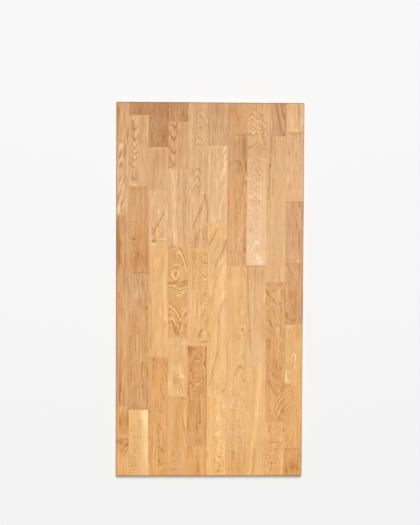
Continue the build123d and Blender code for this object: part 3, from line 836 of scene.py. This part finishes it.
    "stave_j1": Stave("blond", streaky=0.24, streaks=(
        (584, -6, 584, 56, 6, -32), (555, 4, 556, 92, 7, 15), (568, 34, 568, 64, 4, -11),
        (591, 24, 592, 76, 6, 13), (547, 0, 547, 90, 4, 6),
    ), patches=(
        (575, 44, 7, 44, 6, 20), (576, 86, 6, 10, 32), (560, 12, 24, 24, 0, 30), (581, 70, 5, 8, -11),
        (555, 22, 22, 50, -15), (590, 40, 16, 90, -8, -70),
    )),
    "stave_j2": Stave("ash", streaky=0.22, ring_lines=0.2, streaks=(
        (550, 144, 551, 176, 5, -30), (576, 156, 572, 180, 5, -20), (566, 210, 567, 236, 5, -38),
        (554, 250, 554, 280, 5, -30), (547, 228, 546, 260, 5, 30), (568, 236, 570, 260, 5, -22),
        (590, 104, 590, 146, 7, 3, 50), (594, 262, 594, 313, 6, 20, 70), (560, 190, 560, 230, 4, 15),
    ), patches=(
        (570, 97, 60, 7, -25), (575, 103, 7, 6, -18, 30), (546, 128, 6, 12, -14), (562, 130, 6, 9, -15),
        (564, 152, 6, 9, -15), (557, 305, 6, 9, -18), (577, 222, 6, 12, -14), (572, 200, 56, 200, 0, -20),
        (568, 130, 60, 90, -12, -45),
    )),
    "stave_j3": Stave("tan", streaky=0.26, streaks=(
        (587, 314, 588, 340, 6, -40, -50), (598, 314, 598, 386, 5, -34), (562, 336, 560, 376, 7, -16, -20),
        (578, 374, 578, 404, 5, -36), (555, 374, 555, 424, 6, -16), (585, 394, 585, 428, 5, -24),
        (588, 414, 587, 464, 6, -26, 30), (568, 440, 568, 466, 5, -24), (594, 395, 595, 506, 6, 6, 70),
        (551, 400, 551, 500, 5, -8), (574, 460, 574, 500, 5, 6),
    ), patches=(
        (572, 317, 64, 6, -18), (565, 330, 13, 18, -16), (583, 358, 9, 14, -14, 60),
        (567, 377, 6, 10, 20, -20), (545, 392, 6, 12, -17), (566, 422, 7, 11, -15),
        (565, 442, 13, 36, 0, -40), (560, 492, 22, 22, 8, -10), (583, 505, 9, 9, 28),
    )),
    "stave_j4": Stave("clay", streaky=0.28, knot=(566, 695, 3), rings=(
        Rings(540, 500, 11, -1.5, 66, 508, 625, 0.3, blunt=1, rough=3),
    ), streaks=(
        (585, 510, 588, 544, 8, -34, 10), (555, 594, 556, 644, 5, -24), (565, 594, 564, 634, 5, -28, 20),
        (575, 584, 575, 644, 6, -24), (569, 594, 568, 654, 4, 16), (546, 620, 545, 654, 6, -24),
        (597, 590, 597, 706, 5, -36), (582, 560, 584, 600, 5, -14), (548, 560, 548, 620, 5, 14),
    ), patches=(
        (563, 553, 6, 7, -19), (546, 641, 7, 6, 26), (553, 640, 6, 6, 20), (546, 672, 7, 12, -30),
        (566, 695, 7, 6, -40), (571, 691, 6, 5, -29), (575, 696, 6, 5, -21), (565, 703, 34, 12, -4, -60),
        (558, 706, 22, 7, -24), (572, 668, 9, 7, -9), (590, 690, 12, 34, -12), (570, 655, 44, 44, -10, -10),
        (580, 650, 5, 30, 10), (556, 684, 22, 50, -12), (555, 536, 26, 50, 12, -30),
    ), lines=(
        (6, -34, (544, 511), (550, 522), (556, 536), (562, 548)),
        (5, -38, (547, 672), (551, 684), (556, 693)),
    )),
    "stave_j5": Stave("straw", streaky=0.22, streaks=(
        (574, 709, 573, 734, 6, -20), (572, 828, 561, 850, 4, 33), (575, 830, 565, 852, 4, -35),
        (580, 836, 570, 857, 4, 28), (567, 836, 555, 858, 4, -33), (546, 864, 549, 888, 7, 53),
        (556, 812, 551, 832, 5, 15), (594, 720, 595, 890, 8, 3, 60), (570, 760, 568, 800, 4, -10),
    ), patches=(
        (558, 716, 24, 11, 18), (566, 748, 34, 60, 0, 50), (589, 760, 8, 26, 7, 60), (571, 850, 5, 5, -24),
        (549, 891, 11, 15, 62, -10), (553, 862, 9, 6, 33), (557, 880, 9, 15, -11), (553, 836, 6, 9, -14),
        (578, 872, 16, 24, 0, 40), (589, 736, 20, 50, -15),
    ), lines=(
        (4, 55, (570, 804), (567, 815), (565, 828)), (4, -43, (572, 808), (573, 816), (569, 828)),
        (4, 70, (573, 803), (577, 812), (575, 826)),
    )),
    "stave_j6": Stave("honey", streaky=0.24, rings=(
        Rings(543, 906, 13.0, -1.4, 56, 908, 1000, 0.27, blunt=1, rough=4),
    ), streaks=(
        (594, 905, 595, 1105, 7, 7, 90), (583, 960, 583, 1000, 5, 8, 70),
    ), patches=(
        (546, 903, 10, 5, -21), (556, 904, 7, 6, -31, 30), (549, 908, 10, 6, -15), (565, 951, 7, 7, -24),
        (560, 1060, 30, 80, 0, 20), (570, 1040, 40, 60, 4), (546, 1096, 8, 24, 14),
        (589, 928, 20, 50, 0, -50), (589, 978, 20, 50, 4, -50),
    )),
    "stave_j7": Stave("chestnut", streaky=0.26, streaks=(
        (566, 1154, 566, 1186, 6, -36), (547, 1160, 548, 1200, 7, -29), (581, 1162, 583, 1178, 6, -36),
        (590, 1108, 589, 1178, 4, -16, -80), (595, 1110, 595, 1195, 6, 7, 80),
    ), patches=(
        (553, 1113, 11, 11, -29, -20), (560, 1136, 11, 34, 13), (577, 1113, 12, 11, -18),
        (552, 1184, 6, 16, -35), (575, 1166, 18, 50, -16, 40), (596, 1133, 6, 9, -35),
        (594, 1176, 16, 5, -36), (555, 1132, 22, 40, 8), (572, 1176, 22, 40, -8, 20),
    )),
}


# Shader nodes

class Wires:
    """The node tree of one material."""

    def __init__(self, material):
        material.use_nodes = True
        self.tree = material.node_tree
        self.tree.nodes.clear()

    def add(self, kind, settings=None, sockets=None, output=0):
        """Adds a node with its settings, then the values or links of its sockets. Returns one output."""
        node = self.tree.nodes.new("ShaderNode" + kind)
        for name, value in (settings or {}).items():
            if name == "points":
                bend(node.mapping, value)
            else:
                setattr(node, name, value)
        for name, value in (sockets or {}).items():
            if isinstance(value, Socket):
                self.tree.links.new(value.output, node.inputs[name])
            else:
                node.inputs[name].default_value = value
        return Socket(self, node.outputs[output]) if node.outputs else None


def bend(mapping, points):
    """Sets the points of a curve node, from its left end to its right end."""
    curve = mapping.curves[0]
    curve.points[0].location = points[0]
    curve.points[1].location = points[-1]
    for place in points[1:-1]:
        curve.points.new(*place)
    mapping.update()


class Socket:
    """An output of a node, which takes part in sums."""

    def __init__(self, wires, output):
        self.wires = wires
        self.output = output

    def maths(self, operation, *others):
        """A sum of this number and the others."""
        return self.wires.add("Math", {"operation": operation}, dict(enumerate((self, *others))))

    def vector(self, operation, *others):
        """A sum of this vector or colour and the others."""
        return self.wires.add("VectorMath", {"operation": operation}, dict(enumerate((self, *others))))

    def __add__(self, other):
        return self.maths("ADD", other)

    __radd__ = __add__

    def __sub__(self, other):
        return self.maths("SUBTRACT", other)

    def __rsub__(self, other):
        return self.wires.add("Math", {"operation": "SUBTRACT"}, {0: other, 1: self})

    def __mul__(self, other):
        return self.maths("MULTIPLY", other)

    __rmul__ = __mul__

    def __truediv__(self, other):
        return self.maths("DIVIDE", other)

    def __abs__(self):
        return self.maths("ABSOLUTE")

    def root(self):
        return self.maths("SQRT")

    def floor(self):
        return self.maths("FLOOR")

    def parts(self):
        """The three numbers of a vector."""
        split = self.wires.add("SeparateXYZ", sockets={0: self})
        return [Socket(self.wires, output) for output in split.output.node.outputs]

    def step(self, start, end):
        """0 where this is at start, 1 where it is at end, and a smooth slope between."""
        limits = {"From Min": start, "From Max": end, "Value": self}
        return self.wires.add("MapRange", {"interpolation_type": "SMOOTHSTEP"}, limits)


# Noises of the wood

@dataclass
class Texture:
    """A noise. Its patches measure size millimetres across, down and below, and shade is what it adds."""

    size: tuple
    seed: int
    detail: float = 1.0
    shade: float = 1.0


# Bends of the whole grain
WAVE = Texture((60, 180, 60), 0)
CURL = Texture((14, 26, 14), 5)
# Streaks along the grain, long thin hairs that are darker or paler, and spots
BROAD = Texture((15, 320, 60), 11, 2.0, 1.5)
MIDDLING = Texture((5, 150, 20), 13, 2.0, 1.9)
FINE = Texture((1.7, 40, 8), 17, 1.0, 2.2)
DARK_HAIRS = Texture((8, 190, 30), 19, 0.0, -0.35)
PALE_HAIRS = Texture((9, 230, 30), 21, 0.0, 0.3)
PORES = Texture((0.5, 9, 0.5), 23, 1.0, -0.22)
SPOTS = Texture((2.4, 7, 3), 25)
MOTTLE = Texture((5, 9, 5), 29, 2.0, 1.6)
# What makes drawn rings a little uneven
RIPPLE = Texture((13, 17, 13), 31)
# How far apart in the noise two seeds lie, in patches
SEED_STEP = (3.7, 1.3, 0.7)
# How broad a growth ring of a plank is, and how many rings lie between the draws of two staves
RING = 4.5
YEARS_APART = 7
# A noise mostly keeps within a quarter of its middle, so four times it strays by about 1
STRAY = 4
# How near the middle level of its noise a hair reaches
DARK_HAIR_REACH = 0.035
PALE_HAIR_REACH = 0.03
# The levels of the noise between which a pore opens, and how strong pores are in late wood and in early
PORE_LEVELS = (0.58, 0.74)
LATE_PORES = 0.3
EARLY_PORES = 0.7


def noise(wires, place, kind, seed, output=0):
    """A noise of one kind, with a middle of 0.5."""
    start = tuple((seed + kind.seed) * step for step in SEED_STEP)
    scaled = place.vector("MULTIPLY_ADD", tuple(1 / size for size in kind.size), start)
    patches = {"Vector": scaled, "Scale": 1.0, "Detail": kind.detail}
    return wires.add("TexNoise", sockets=patches, output=output)


def wander(wires, place, kind, seed, amount):
    """Moves places to and fro by some millimetres, so that what is drawn there isn't ruled straight."""
    turn = noise(wires, place, kind, seed, output=1)
    reach = (amount * STRAY, amount * STRAY, amount)
    centred = turn.vector("SUBTRACT", (0.5, 0.5, 0.5))
    return centred.vector("MULTIPLY_ADD", reach, place)


def hairs(wires, grain, kind, seed, reach):
    """Long thin hairs, 1 on a hair: they follow the middle level of a noise that is drawn out."""
    level = noise(wires, grain, kind, seed) - 0.5
    return abs(level).step(reach, 0.0)


def vigour(wires, year, seed):
    """A number from 0 to 1 for each ring of a stave."""
    return wires.add("TexWhiteNoise", {"noise_dimensions": "1D"}, {"W": year + seed * YEARS_APART})


# What is drawn on the staves

# A mark is gone at this share of its length from its middle. It reaches down through the board
FADED_LENGTH = 0.75
MARK_DEPTH = 1000.0
# Where what is drawn starts to fade and where it is gone, in millimetres below the face
FADE_START = 4.0
FADE_END = 24.0


def mark_share(wires, place, mark):
    """1 in the middle of a mark, falling softly to 0 round it."""
    own = wires.add("Mapping", {"vector_type": "TEXTURE"}, {
        "Vector": place,
        "Location": (mark.across, mark.down, 0),
        "Rotation": (0, 0, mark.lean),
        "Scale": (mark.wide, mark.long * FADED_LENGTH, MARK_DEPTH)})
    away = wires.add("VectorMath", {"operation": "LENGTH"}, {0: own}, output="Value")
    return away.step(1.0, 0.0)


def line_share(across, down, wide, places):
    """1 on a line through the places, falling softly to 0 beside it and past its ends."""
    walked = [(place_down, place_across) for place_across, place_down in places]
    route = sorted(walked)
    along, beside = down, across
    if route not in (walked, walked[::-1]) or len({station for station, _ in route}) < len(route):
        route = sorted(places)
        along, beside = across, down
    start, end = route[0][0], route[-1][0]
    low = min(aside for _, aside in route)
    span = max(aside for _, aside in route) - low + 0.01
    run = end - start
    climb = sum(abs(later[1] - place[1]) for place, later in zip(route, route[1:])) / run
    share = along.maths("MULTIPLY_ADD", 1 / run, -start / run)
    points = [((station - start) / run, (aside - low) / span) for station, aside in route]
    path = across.wires.add("FloatCurve", {"points": points}, {"Value": share})
    gap = abs(path.maths("MULTIPLY_ADD", -span, beside) - low)
    fade = 0.5 * wide / run
    inside = abs(share - 0.5).step(0.5 + fade, 0.5 - fade)
    return gap.step(wide * math.hypot(1.0, climb), 0.0) * inside


def ring_height(wires, place, figure, first, seed):
    """How far down a place would lie if its ring were straightened, and how far aside of the heart it is."""
    across, down, _ = place.parts()
    aside = across - figure.across
    if figure.drift:
        aside = (down - first) * -figure.drift + aside
    reach = (aside * aside + figure.blunt ** 2).root() - figure.blunt
    height = reach.maths("MULTIPLY_ADD", figure.slope, down)
    if figure.rough:
        ripple = noise(wires, place, RIPPLE, seed) - 0.5
        height = ripple.maths("MULTIPLY_ADD", figure.rough * STRAY, height)
    return height, aside


def arch_shade(wires, place, arches, seed):
    """Shade of a few ring lines whose tips are placed one by one."""
    height, aside = ring_height(wires, place, arches, arches.downs[0], seed)
    lines = None
    for tip in arches.downs:
        ring_line = abs(height - tip).step(arches.thick, 0.0)
        lines = ring_line if lines is None else lines + ring_line
    return lines * abs(aside).step(arches.spread, arches.spread * 0.4) * arches.shade


def ring_shade(wires, place, rings, seed):
    """Shade of many even ring lines, each a little stronger or weaker than the next."""
    soft_end = 5
    height, aside = ring_height(wires, place, rings, rings.first, seed)
    down = place.parts()[1]
    age = (height - rings.first) / rings.every
    wave = (age * (2 * math.pi)).maths("COSINE")
    depth = wave.step(0.2, 1.0) - wave.step(-0.2, -1.0) * 0.6
    strength = vigour(wires, (age + 0.5).floor(), seed) * 0.8 + 0.6
    reach = abs(aside).step(rings.spread, rings.spread * 0.6)
    if rings.side:
        reach = reach * (aside * rings.side).step(-2.0, 3.0)
    begun = down.step(rings.start - soft_end, rings.start + soft_end)
    unfinished = down.step(rings.end + soft_end, rings.end - soft_end)
    return depth * strength * reach * begun * unfinished * -rings.shade


def figures(wires, place, stave, seed):
    """The shade and the warmth of all that is drawn on a stave, and how bold its mottle is."""
    across, down, _ = place.parts()
    shade, warmth, bold = 0.0, 0.0, 1.0
    for arches in stave.arches:
        shade = arch_shade(wires, place, arches, seed) + shade
    for rings in stave.rings:
        shade = ring_shade(wires, place, rings, seed) + shade
    for wide, hundredths, *places in stave.lines:
        share = line_share(across, down, wide, places)
        shade = share.maths("MULTIPLY_ADD", hundredths / 100, shade)
    for mark in [streak(*row) for row in stave.streaks] + [patch(*row) for row in stave.patches]:
        share = mark_share(wires, place, mark)
        if mark.shade:
            shade = share.maths("MULTIPLY_ADD", mark.shade, shade)
        if mark.warmth:
            warmth = share.maths("MULTIPLY_ADD", mark.warmth, warmth)
        if mark.bold:
            bold = share.maths("MULTIPLY_ADD", mark.bold, bold)
    return shade, warmth, bold


# The oak

# How far the pith of a plank lay beside the middle of its stave, by turns, and how far above the face
PITH_ASIDE = (105.0, -80.0, 130.0, -115.0, 75.0, -140.0)
PITH_ABOVE = 45.0
# The grain parts over a longer stretch than a knot is wide
KNOT_SQUEEZE = 0.45
KNOT_SHADE = 0.3
KNOT_REACH = (1.6, 0.3)
# The shade of plain wood, and what the lines of its rings take from it on average
EVEN = 0.49
RING_LINE_MEAN = 0.09
# The wood is more amber near the edges. Painted shade darkens the eased edges, where they turn from the
# light
EDGE_AMBER = 0.4
EDGE_PAINTED_SHADE = 0.4
# The ends are darker still, partly as end grain and partly as painted shade
END_GRAIN_AND_PAINTED_SHADE = 0.14
# How near the edge each of them starts and where it is full, in millimetres
AMBER_REACH = (11, 3)
EDGE_REACH = (3.4, 0.8)
END_REACH = (3.0, 0.4)
# The ends are eased a little wider than the sides, so amber and painted shade reach further in, in
# millimetres
WIDER_END = 0.8
# How dark the glue lines are and how wide each is on its stave
SEAM_SHADE = 0.16
SEAM_WIDTH = 0.9
# The gloss of the oil, and how pores and broad streaks break it
ROUGHNESS = 0.56
PORE_ROUGHNESS = 0.2
STREAK_ROUGHNESS = 0.12
SHEEN = 0.22
# The deepest relief of the grain, in metres
RELIEF = 0.0002


def board_place(wires):
    """(across, down, below) in millimetres: from the left edge, from the far end and from the top face."""
    place = wires.add("TexCoord", output="Object")
    corner = (WIDTH / 2, LENGTH / 2, THICKNESS)
    return place.vector("MULTIPLY_ADD", (MM, -MM, -MM), corner)


def parted(across, down, knot):
    """Places across, with the grain bent round a knot. Also how far they are from it, in its own sizes."""
    knot_across, knot_down, size = knot
    aside = across - knot_across
    along = (down - knot_down) * KNOT_SQUEEZE
    reach = aside * aside + along * along
    bent = aside * reach / (reach + size * size)
    return bent + knot_across, reach.root() / size


def pith_distance(across, below, node, seed):
    """How far a place is from the pith of its plank, in millimetres."""
    low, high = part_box(node)
    middle = ((low.x + high.x) / 2 - cad_low.x) * MM
    aside = across - (middle + PITH_ASIDE[seed % len(PITH_ASIDE)])
    deep = below + PITH_ABOVE
    return (aside * aside + deep * deep).root()


def growth(wires, distance, seed):
    """The share of early wood at a distance from the pith, and the line that each ring draws there."""
    age = distance / RING
    year = age.floor()
    season = 1.0 - (age - year)
    early = season * season * season
    strength = vigour(wires, year, seed)
    return early, early * season * (strength * strength * 0.8 + 0.2)


def distance_from_edge(place):
    """How far a place is from the ends of the board, and from its ends and sides, in millimetres."""
    across, down, _ = place.parts()
    from_end = LENGTH / 2 - abs(down - LENGTH / 2)
    from_side = WIDTH / 2 - abs(across - WIDTH / 2)
    return from_end, (from_end - WIDER_END).maths("MINIMUM", from_side)


def seam(place, node):
    """1 on the glue lines round a stave. An outer edge of the board has none, so its line lies past it."""
    past = 50.0
    nearly = 1.0
    low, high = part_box(node)
    left, right = (low.x - cad_low.x) * MM, (high.x - cad_low.x) * MM
    far, near = (cad_high.y - high.y) * MM, (cad_high.y - low.y) * MM
    left = left if left > nearly else -past
    right = right if right < WIDTH - nearly else WIDTH + past
    far = far if far > nearly else -past
    near = near if near < LENGTH - nearly else LENGTH + past
    middle = ((left + right) / 2, (far + near) / 2, 0)
    half = ((right - left) / 2, (near - far) / 2, 0)
    inset = place.vector("SUBTRACT", middle).vector("ABSOLUTE").vector("SUBTRACT", half)
    across, down, _ = inset.parts()
    return across.maths("MAXIMUM", down).step(-SEAM_WIDTH, 0.0)


def oak(node, stave, seed):
    """The oiled oak of one stave."""
    material = bpy.data.materials.new("oak_of_" + node)
    wires = Wires(material)
    flat = board_place(wires)
    place = wander(wires, flat, WAVE, seed, stave.wave)
    place = wander(wires, place, CURL, seed, stave.curl)
    across, down, below = place.parts()
    if stave.knot:
        across, knot_distance = parted(across, down, stave.knot)
    distance = pith_distance(across, below, node, seed)
    early, ring_line = growth(wires, distance, seed)

    # Shade of the plain wood
    grain = wires.add("CombineXYZ", sockets={0: distance, 1: down, 2: below})
    broad, middling, fine = (noise(wires, grain, kind, seed) - 0.5 for kind in (BROAD, MIDDLING, FINE))
    spots = noise(wires, place, SPOTS, seed) - 0.5
    dark_hairs = hairs(wires, grain, DARK_HAIRS, seed, DARK_HAIR_REACH)
    pale_hairs = hairs(wires, grain, PALE_HAIRS, seed, PALE_HAIR_REACH)
    streaks = broad * BROAD.shade + middling * MIDDLING.shade + fine * FINE.shade + spots
    streaks = streaks + dark_hairs * DARK_HAIRS.shade + pale_hairs * PALE_HAIRS.shade
    pores = noise(wires, place, PORES, seed).step(*PORE_LEVELS) * (early * EARLY_PORES + LATE_PORES)
    shade = streaks.maths("MULTIPLY_ADD", stave.streaky, EVEN + stave.ring_lines * RING_LINE_MEAN)

    # What is drawn on it
    fade = below.step(FADE_END, FADE_START)
    drawn, warmth, bold = figures(wires, place, stave, seed)
    shade = fade.maths("MULTIPLY_ADD", drawn, shade)
    if stave.fleck:
        mottle = noise(wires, place, MOTTLE, seed) - 0.5
        shade = mottle * bold * (stave.fleck * MOTTLE.shade) + shade
    shade = shade - ring_line * stave.ring_lines
    if stave.knot:
        shade = shade - knot_distance.step(*KNOT_REACH) * KNOT_SHADE
    shade = shade + pores * PORES.shade

    # Colour
    tone = TONES[stave.tone]
    dark = tuple(light * share for light, share in zip(tone, DARK_WOOD)) + (1,)
    pale = tuple(light * share for light, share in zip(tone, PALE_WOOD)) + (1,)
    colour = wires.add("Mix", {"data_type": "RGBA"}, {"Factor": shade, 6: dark, 7: pale}, output=2)
    from_end, from_edge = distance_from_edge(flat)
    amber = fade.maths("MULTIPLY_ADD", warmth, from_edge.step(*AMBER_REACH) * EDGE_AMBER)
    colour = colour.vector("MULTIPLY", amber.vector("MULTIPLY_ADD", AMBER_CAST, (1, 1, 1)))
    # Painted shade on the eased edges, and darker ends, partly end grain and partly painted shade
    edges = from_edge.step(*EDGE_REACH) * EDGE_PAINTED_SHADE + from_end.step(*END_REACH) * END_GRAIN_AND_PAINTED_SHADE
    colour = colour.vector("MULTIPLY", 1.0 - (seam(flat, node) * SEAM_SHADE + edges))

    gloss_break = pores * PORE_ROUGHNESS + broad * STREAK_ROUGHNESS + ROUGHNESS
    dents = wires.add("Bump", sockets={"Strength": 0.5, "Distance": RELIEF, "Height": fine * 0.5 - pores})
    surface = wires.add("BsdfPrincipled", sockets={
        "Base Color": colour, "Roughness": gloss_break, "Specular IOR Level": SHEEN, "Normal": dents})
    wires.add("OutputMaterial", sockets={"Surface": surface})
    return material


# Floor, light and camera

# How bright the paper is, and the part of it that doesn't take the board's shadow
PAPER = 0.939
FLOOR_GLOW = 0.2
FLOOR_SIZE = 60.0
# Where the paper stops taking the light of the lamp and is only as white as the picture's edge, in metres
LIT_PAPER_END = 3.0
PLAIN_PAPER_START = 9.0
# How much light the floor throws back at the board, and how bright the surroundings shine on it
BOUNCE = 0.8
SKY = 0.1
SOFTBOX_HEIGHT = 20.0
SOFTBOX_LEAN = math.radians(21.5)
SOFTBOX_SIZE = (1.5, 8.7)
SOFTBOX_POWER = 0.9
CAMERA_PLACE = (-0.1146, 0.2534, 3.9901)
CAMERA_TURN = (-2.376, -1.653, 0.287)
CAMERA_LENS = 85.0
WHITE = (1, 1, 1, 1)


def camera_sees(wires):
    """1 for what the camera sees itself or in a gloss, 0 for light on its way to the object."""
    path = wires.add("LightPath", output="Is Camera Ray")
    glossy = wires.add("LightPath", output="Is Glossy Ray")
    clear = wires.add("LightPath", output="Is Transmission Ray")
    return path.maths("MAXIMUM", glossy).maths("MAXIMUM", clear)


def grey(lightness):
    """A grey of some lightness, from 0 to 1."""
    return (lightness, lightness, lightness, 1)


def white_paper():
    """Paper that keeps the shadow of the board near it and is plain white far off."""
    material = bpy.data.materials.new("white_paper")
    wires = Wires(material)
    sheet = wires.add("BsdfDiffuse", sockets={"Color": grey(PAPER - FLOOR_GLOW)})
    glow = wires.add("Emission", sockets={"Color": WHITE, "Strength": FLOOR_GLOW})
    near = wires.add("AddShader", sockets={0: sheet, 1: glow})
    far = wires.add("Emission", sockets={"Color": WHITE, "Strength": PAPER})
    place = wires.add("TexCoord", output="Object")
    away = wires.add("VectorMath", {"operation": "LENGTH"}, {0: place}, output="Value")
    far_off = away.step(LIT_PAPER_END, PLAIN_PAPER_START)
    seen = wires.add("MixShader", sockets={0: far_off, 1: near, 2: far})
    bounce = wires.add("BsdfDiffuse", sockets={"Color": grey(BOUNCE)})
    surface = wires.add("MixShader", sockets={0: camera_sees(wires), 1: bounce, 2: seen})
    wires.add("OutputMaterial", sockets={"Surface": surface})
    return material


def paper_floor():
    """A wide sheet of paper under the board."""
    half = FLOOR_SIZE / 2
    corners = [(-half, -half, 0), (half, -half, 0), (half, half, 0), (-half, half, 0)]
    mesh = bpy.data.meshes.new("floor")
    mesh.from_pydata(corners, [], [(0, 1, 2, 3)])
    floor = bpy.data.objects.new("floor", mesh)
    bpy.context.scene.collection.objects.link(floor)
    mesh.materials.append(white_paper())


def sky():
    """Plain pale surroundings, dim towards the object and as white as the paper behind it."""
    world = bpy.data.worlds.new("surroundings")
    bpy.context.scene.world = world
    wires = Wires(world)
    strength = camera_sees(wires) * (PAPER - SKY) + SKY
    light = wires.add("Background", sockets={"Color": WHITE, "Strength": strength})
    wires.add("OutputWorld", sockets={"Surface": light})


def softbox():
    """A long strip light overhead, a little towards the far end, so the shadow falls at the near edge."""
    data = bpy.data.lights.new("strip_softbox", "AREA")
    data.shape = "RECTANGLE"
    data.size, data.size_y = SOFTBOX_SIZE
    data.energy = SOFTBOX_POWER * (math.pi * SOFTBOX_HEIGHT) ** 2 / math.cos(SOFTBOX_LEAN) ** 3
    lamp = bpy.data.objects.new("strip_softbox", data)
    bpy.context.scene.collection.objects.link(lamp)
    lamp.location = (0, SOFTBOX_HEIGHT * math.tan(SOFTBOX_LEAN), SOFTBOX_HEIGHT)
    lamp.rotation_euler = (-SOFTBOX_LEAN, 0, 0)
    lamp.visible_camera = False


def camera():
    """Looks down on the board from where the photograph was taken."""
    data = bpy.data.cameras.new("camera")
    data.lens = CAMERA_LENS
    eye = bpy.data.objects.new("camera", data)
    bpy.context.scene.collection.objects.link(eye)
    eye.location = CAMERA_PLACE
    eye.rotation_euler = [math.radians(angle) for angle in CAMERA_TURN]
    bpy.context.scene.camera = eye


def main():
    """Dresses the staves and sets them in the light."""
    for seed, (node, stave) in enumerate(STAVES.items()):
        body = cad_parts[node].data
        body.materials.clear()
        body.materials.append(oak(node, stave, seed))
    paper_floor()
    sky()
    softbox()
    camera()
    bpy.context.scene.view_settings.view_transform = "Standard"


main()
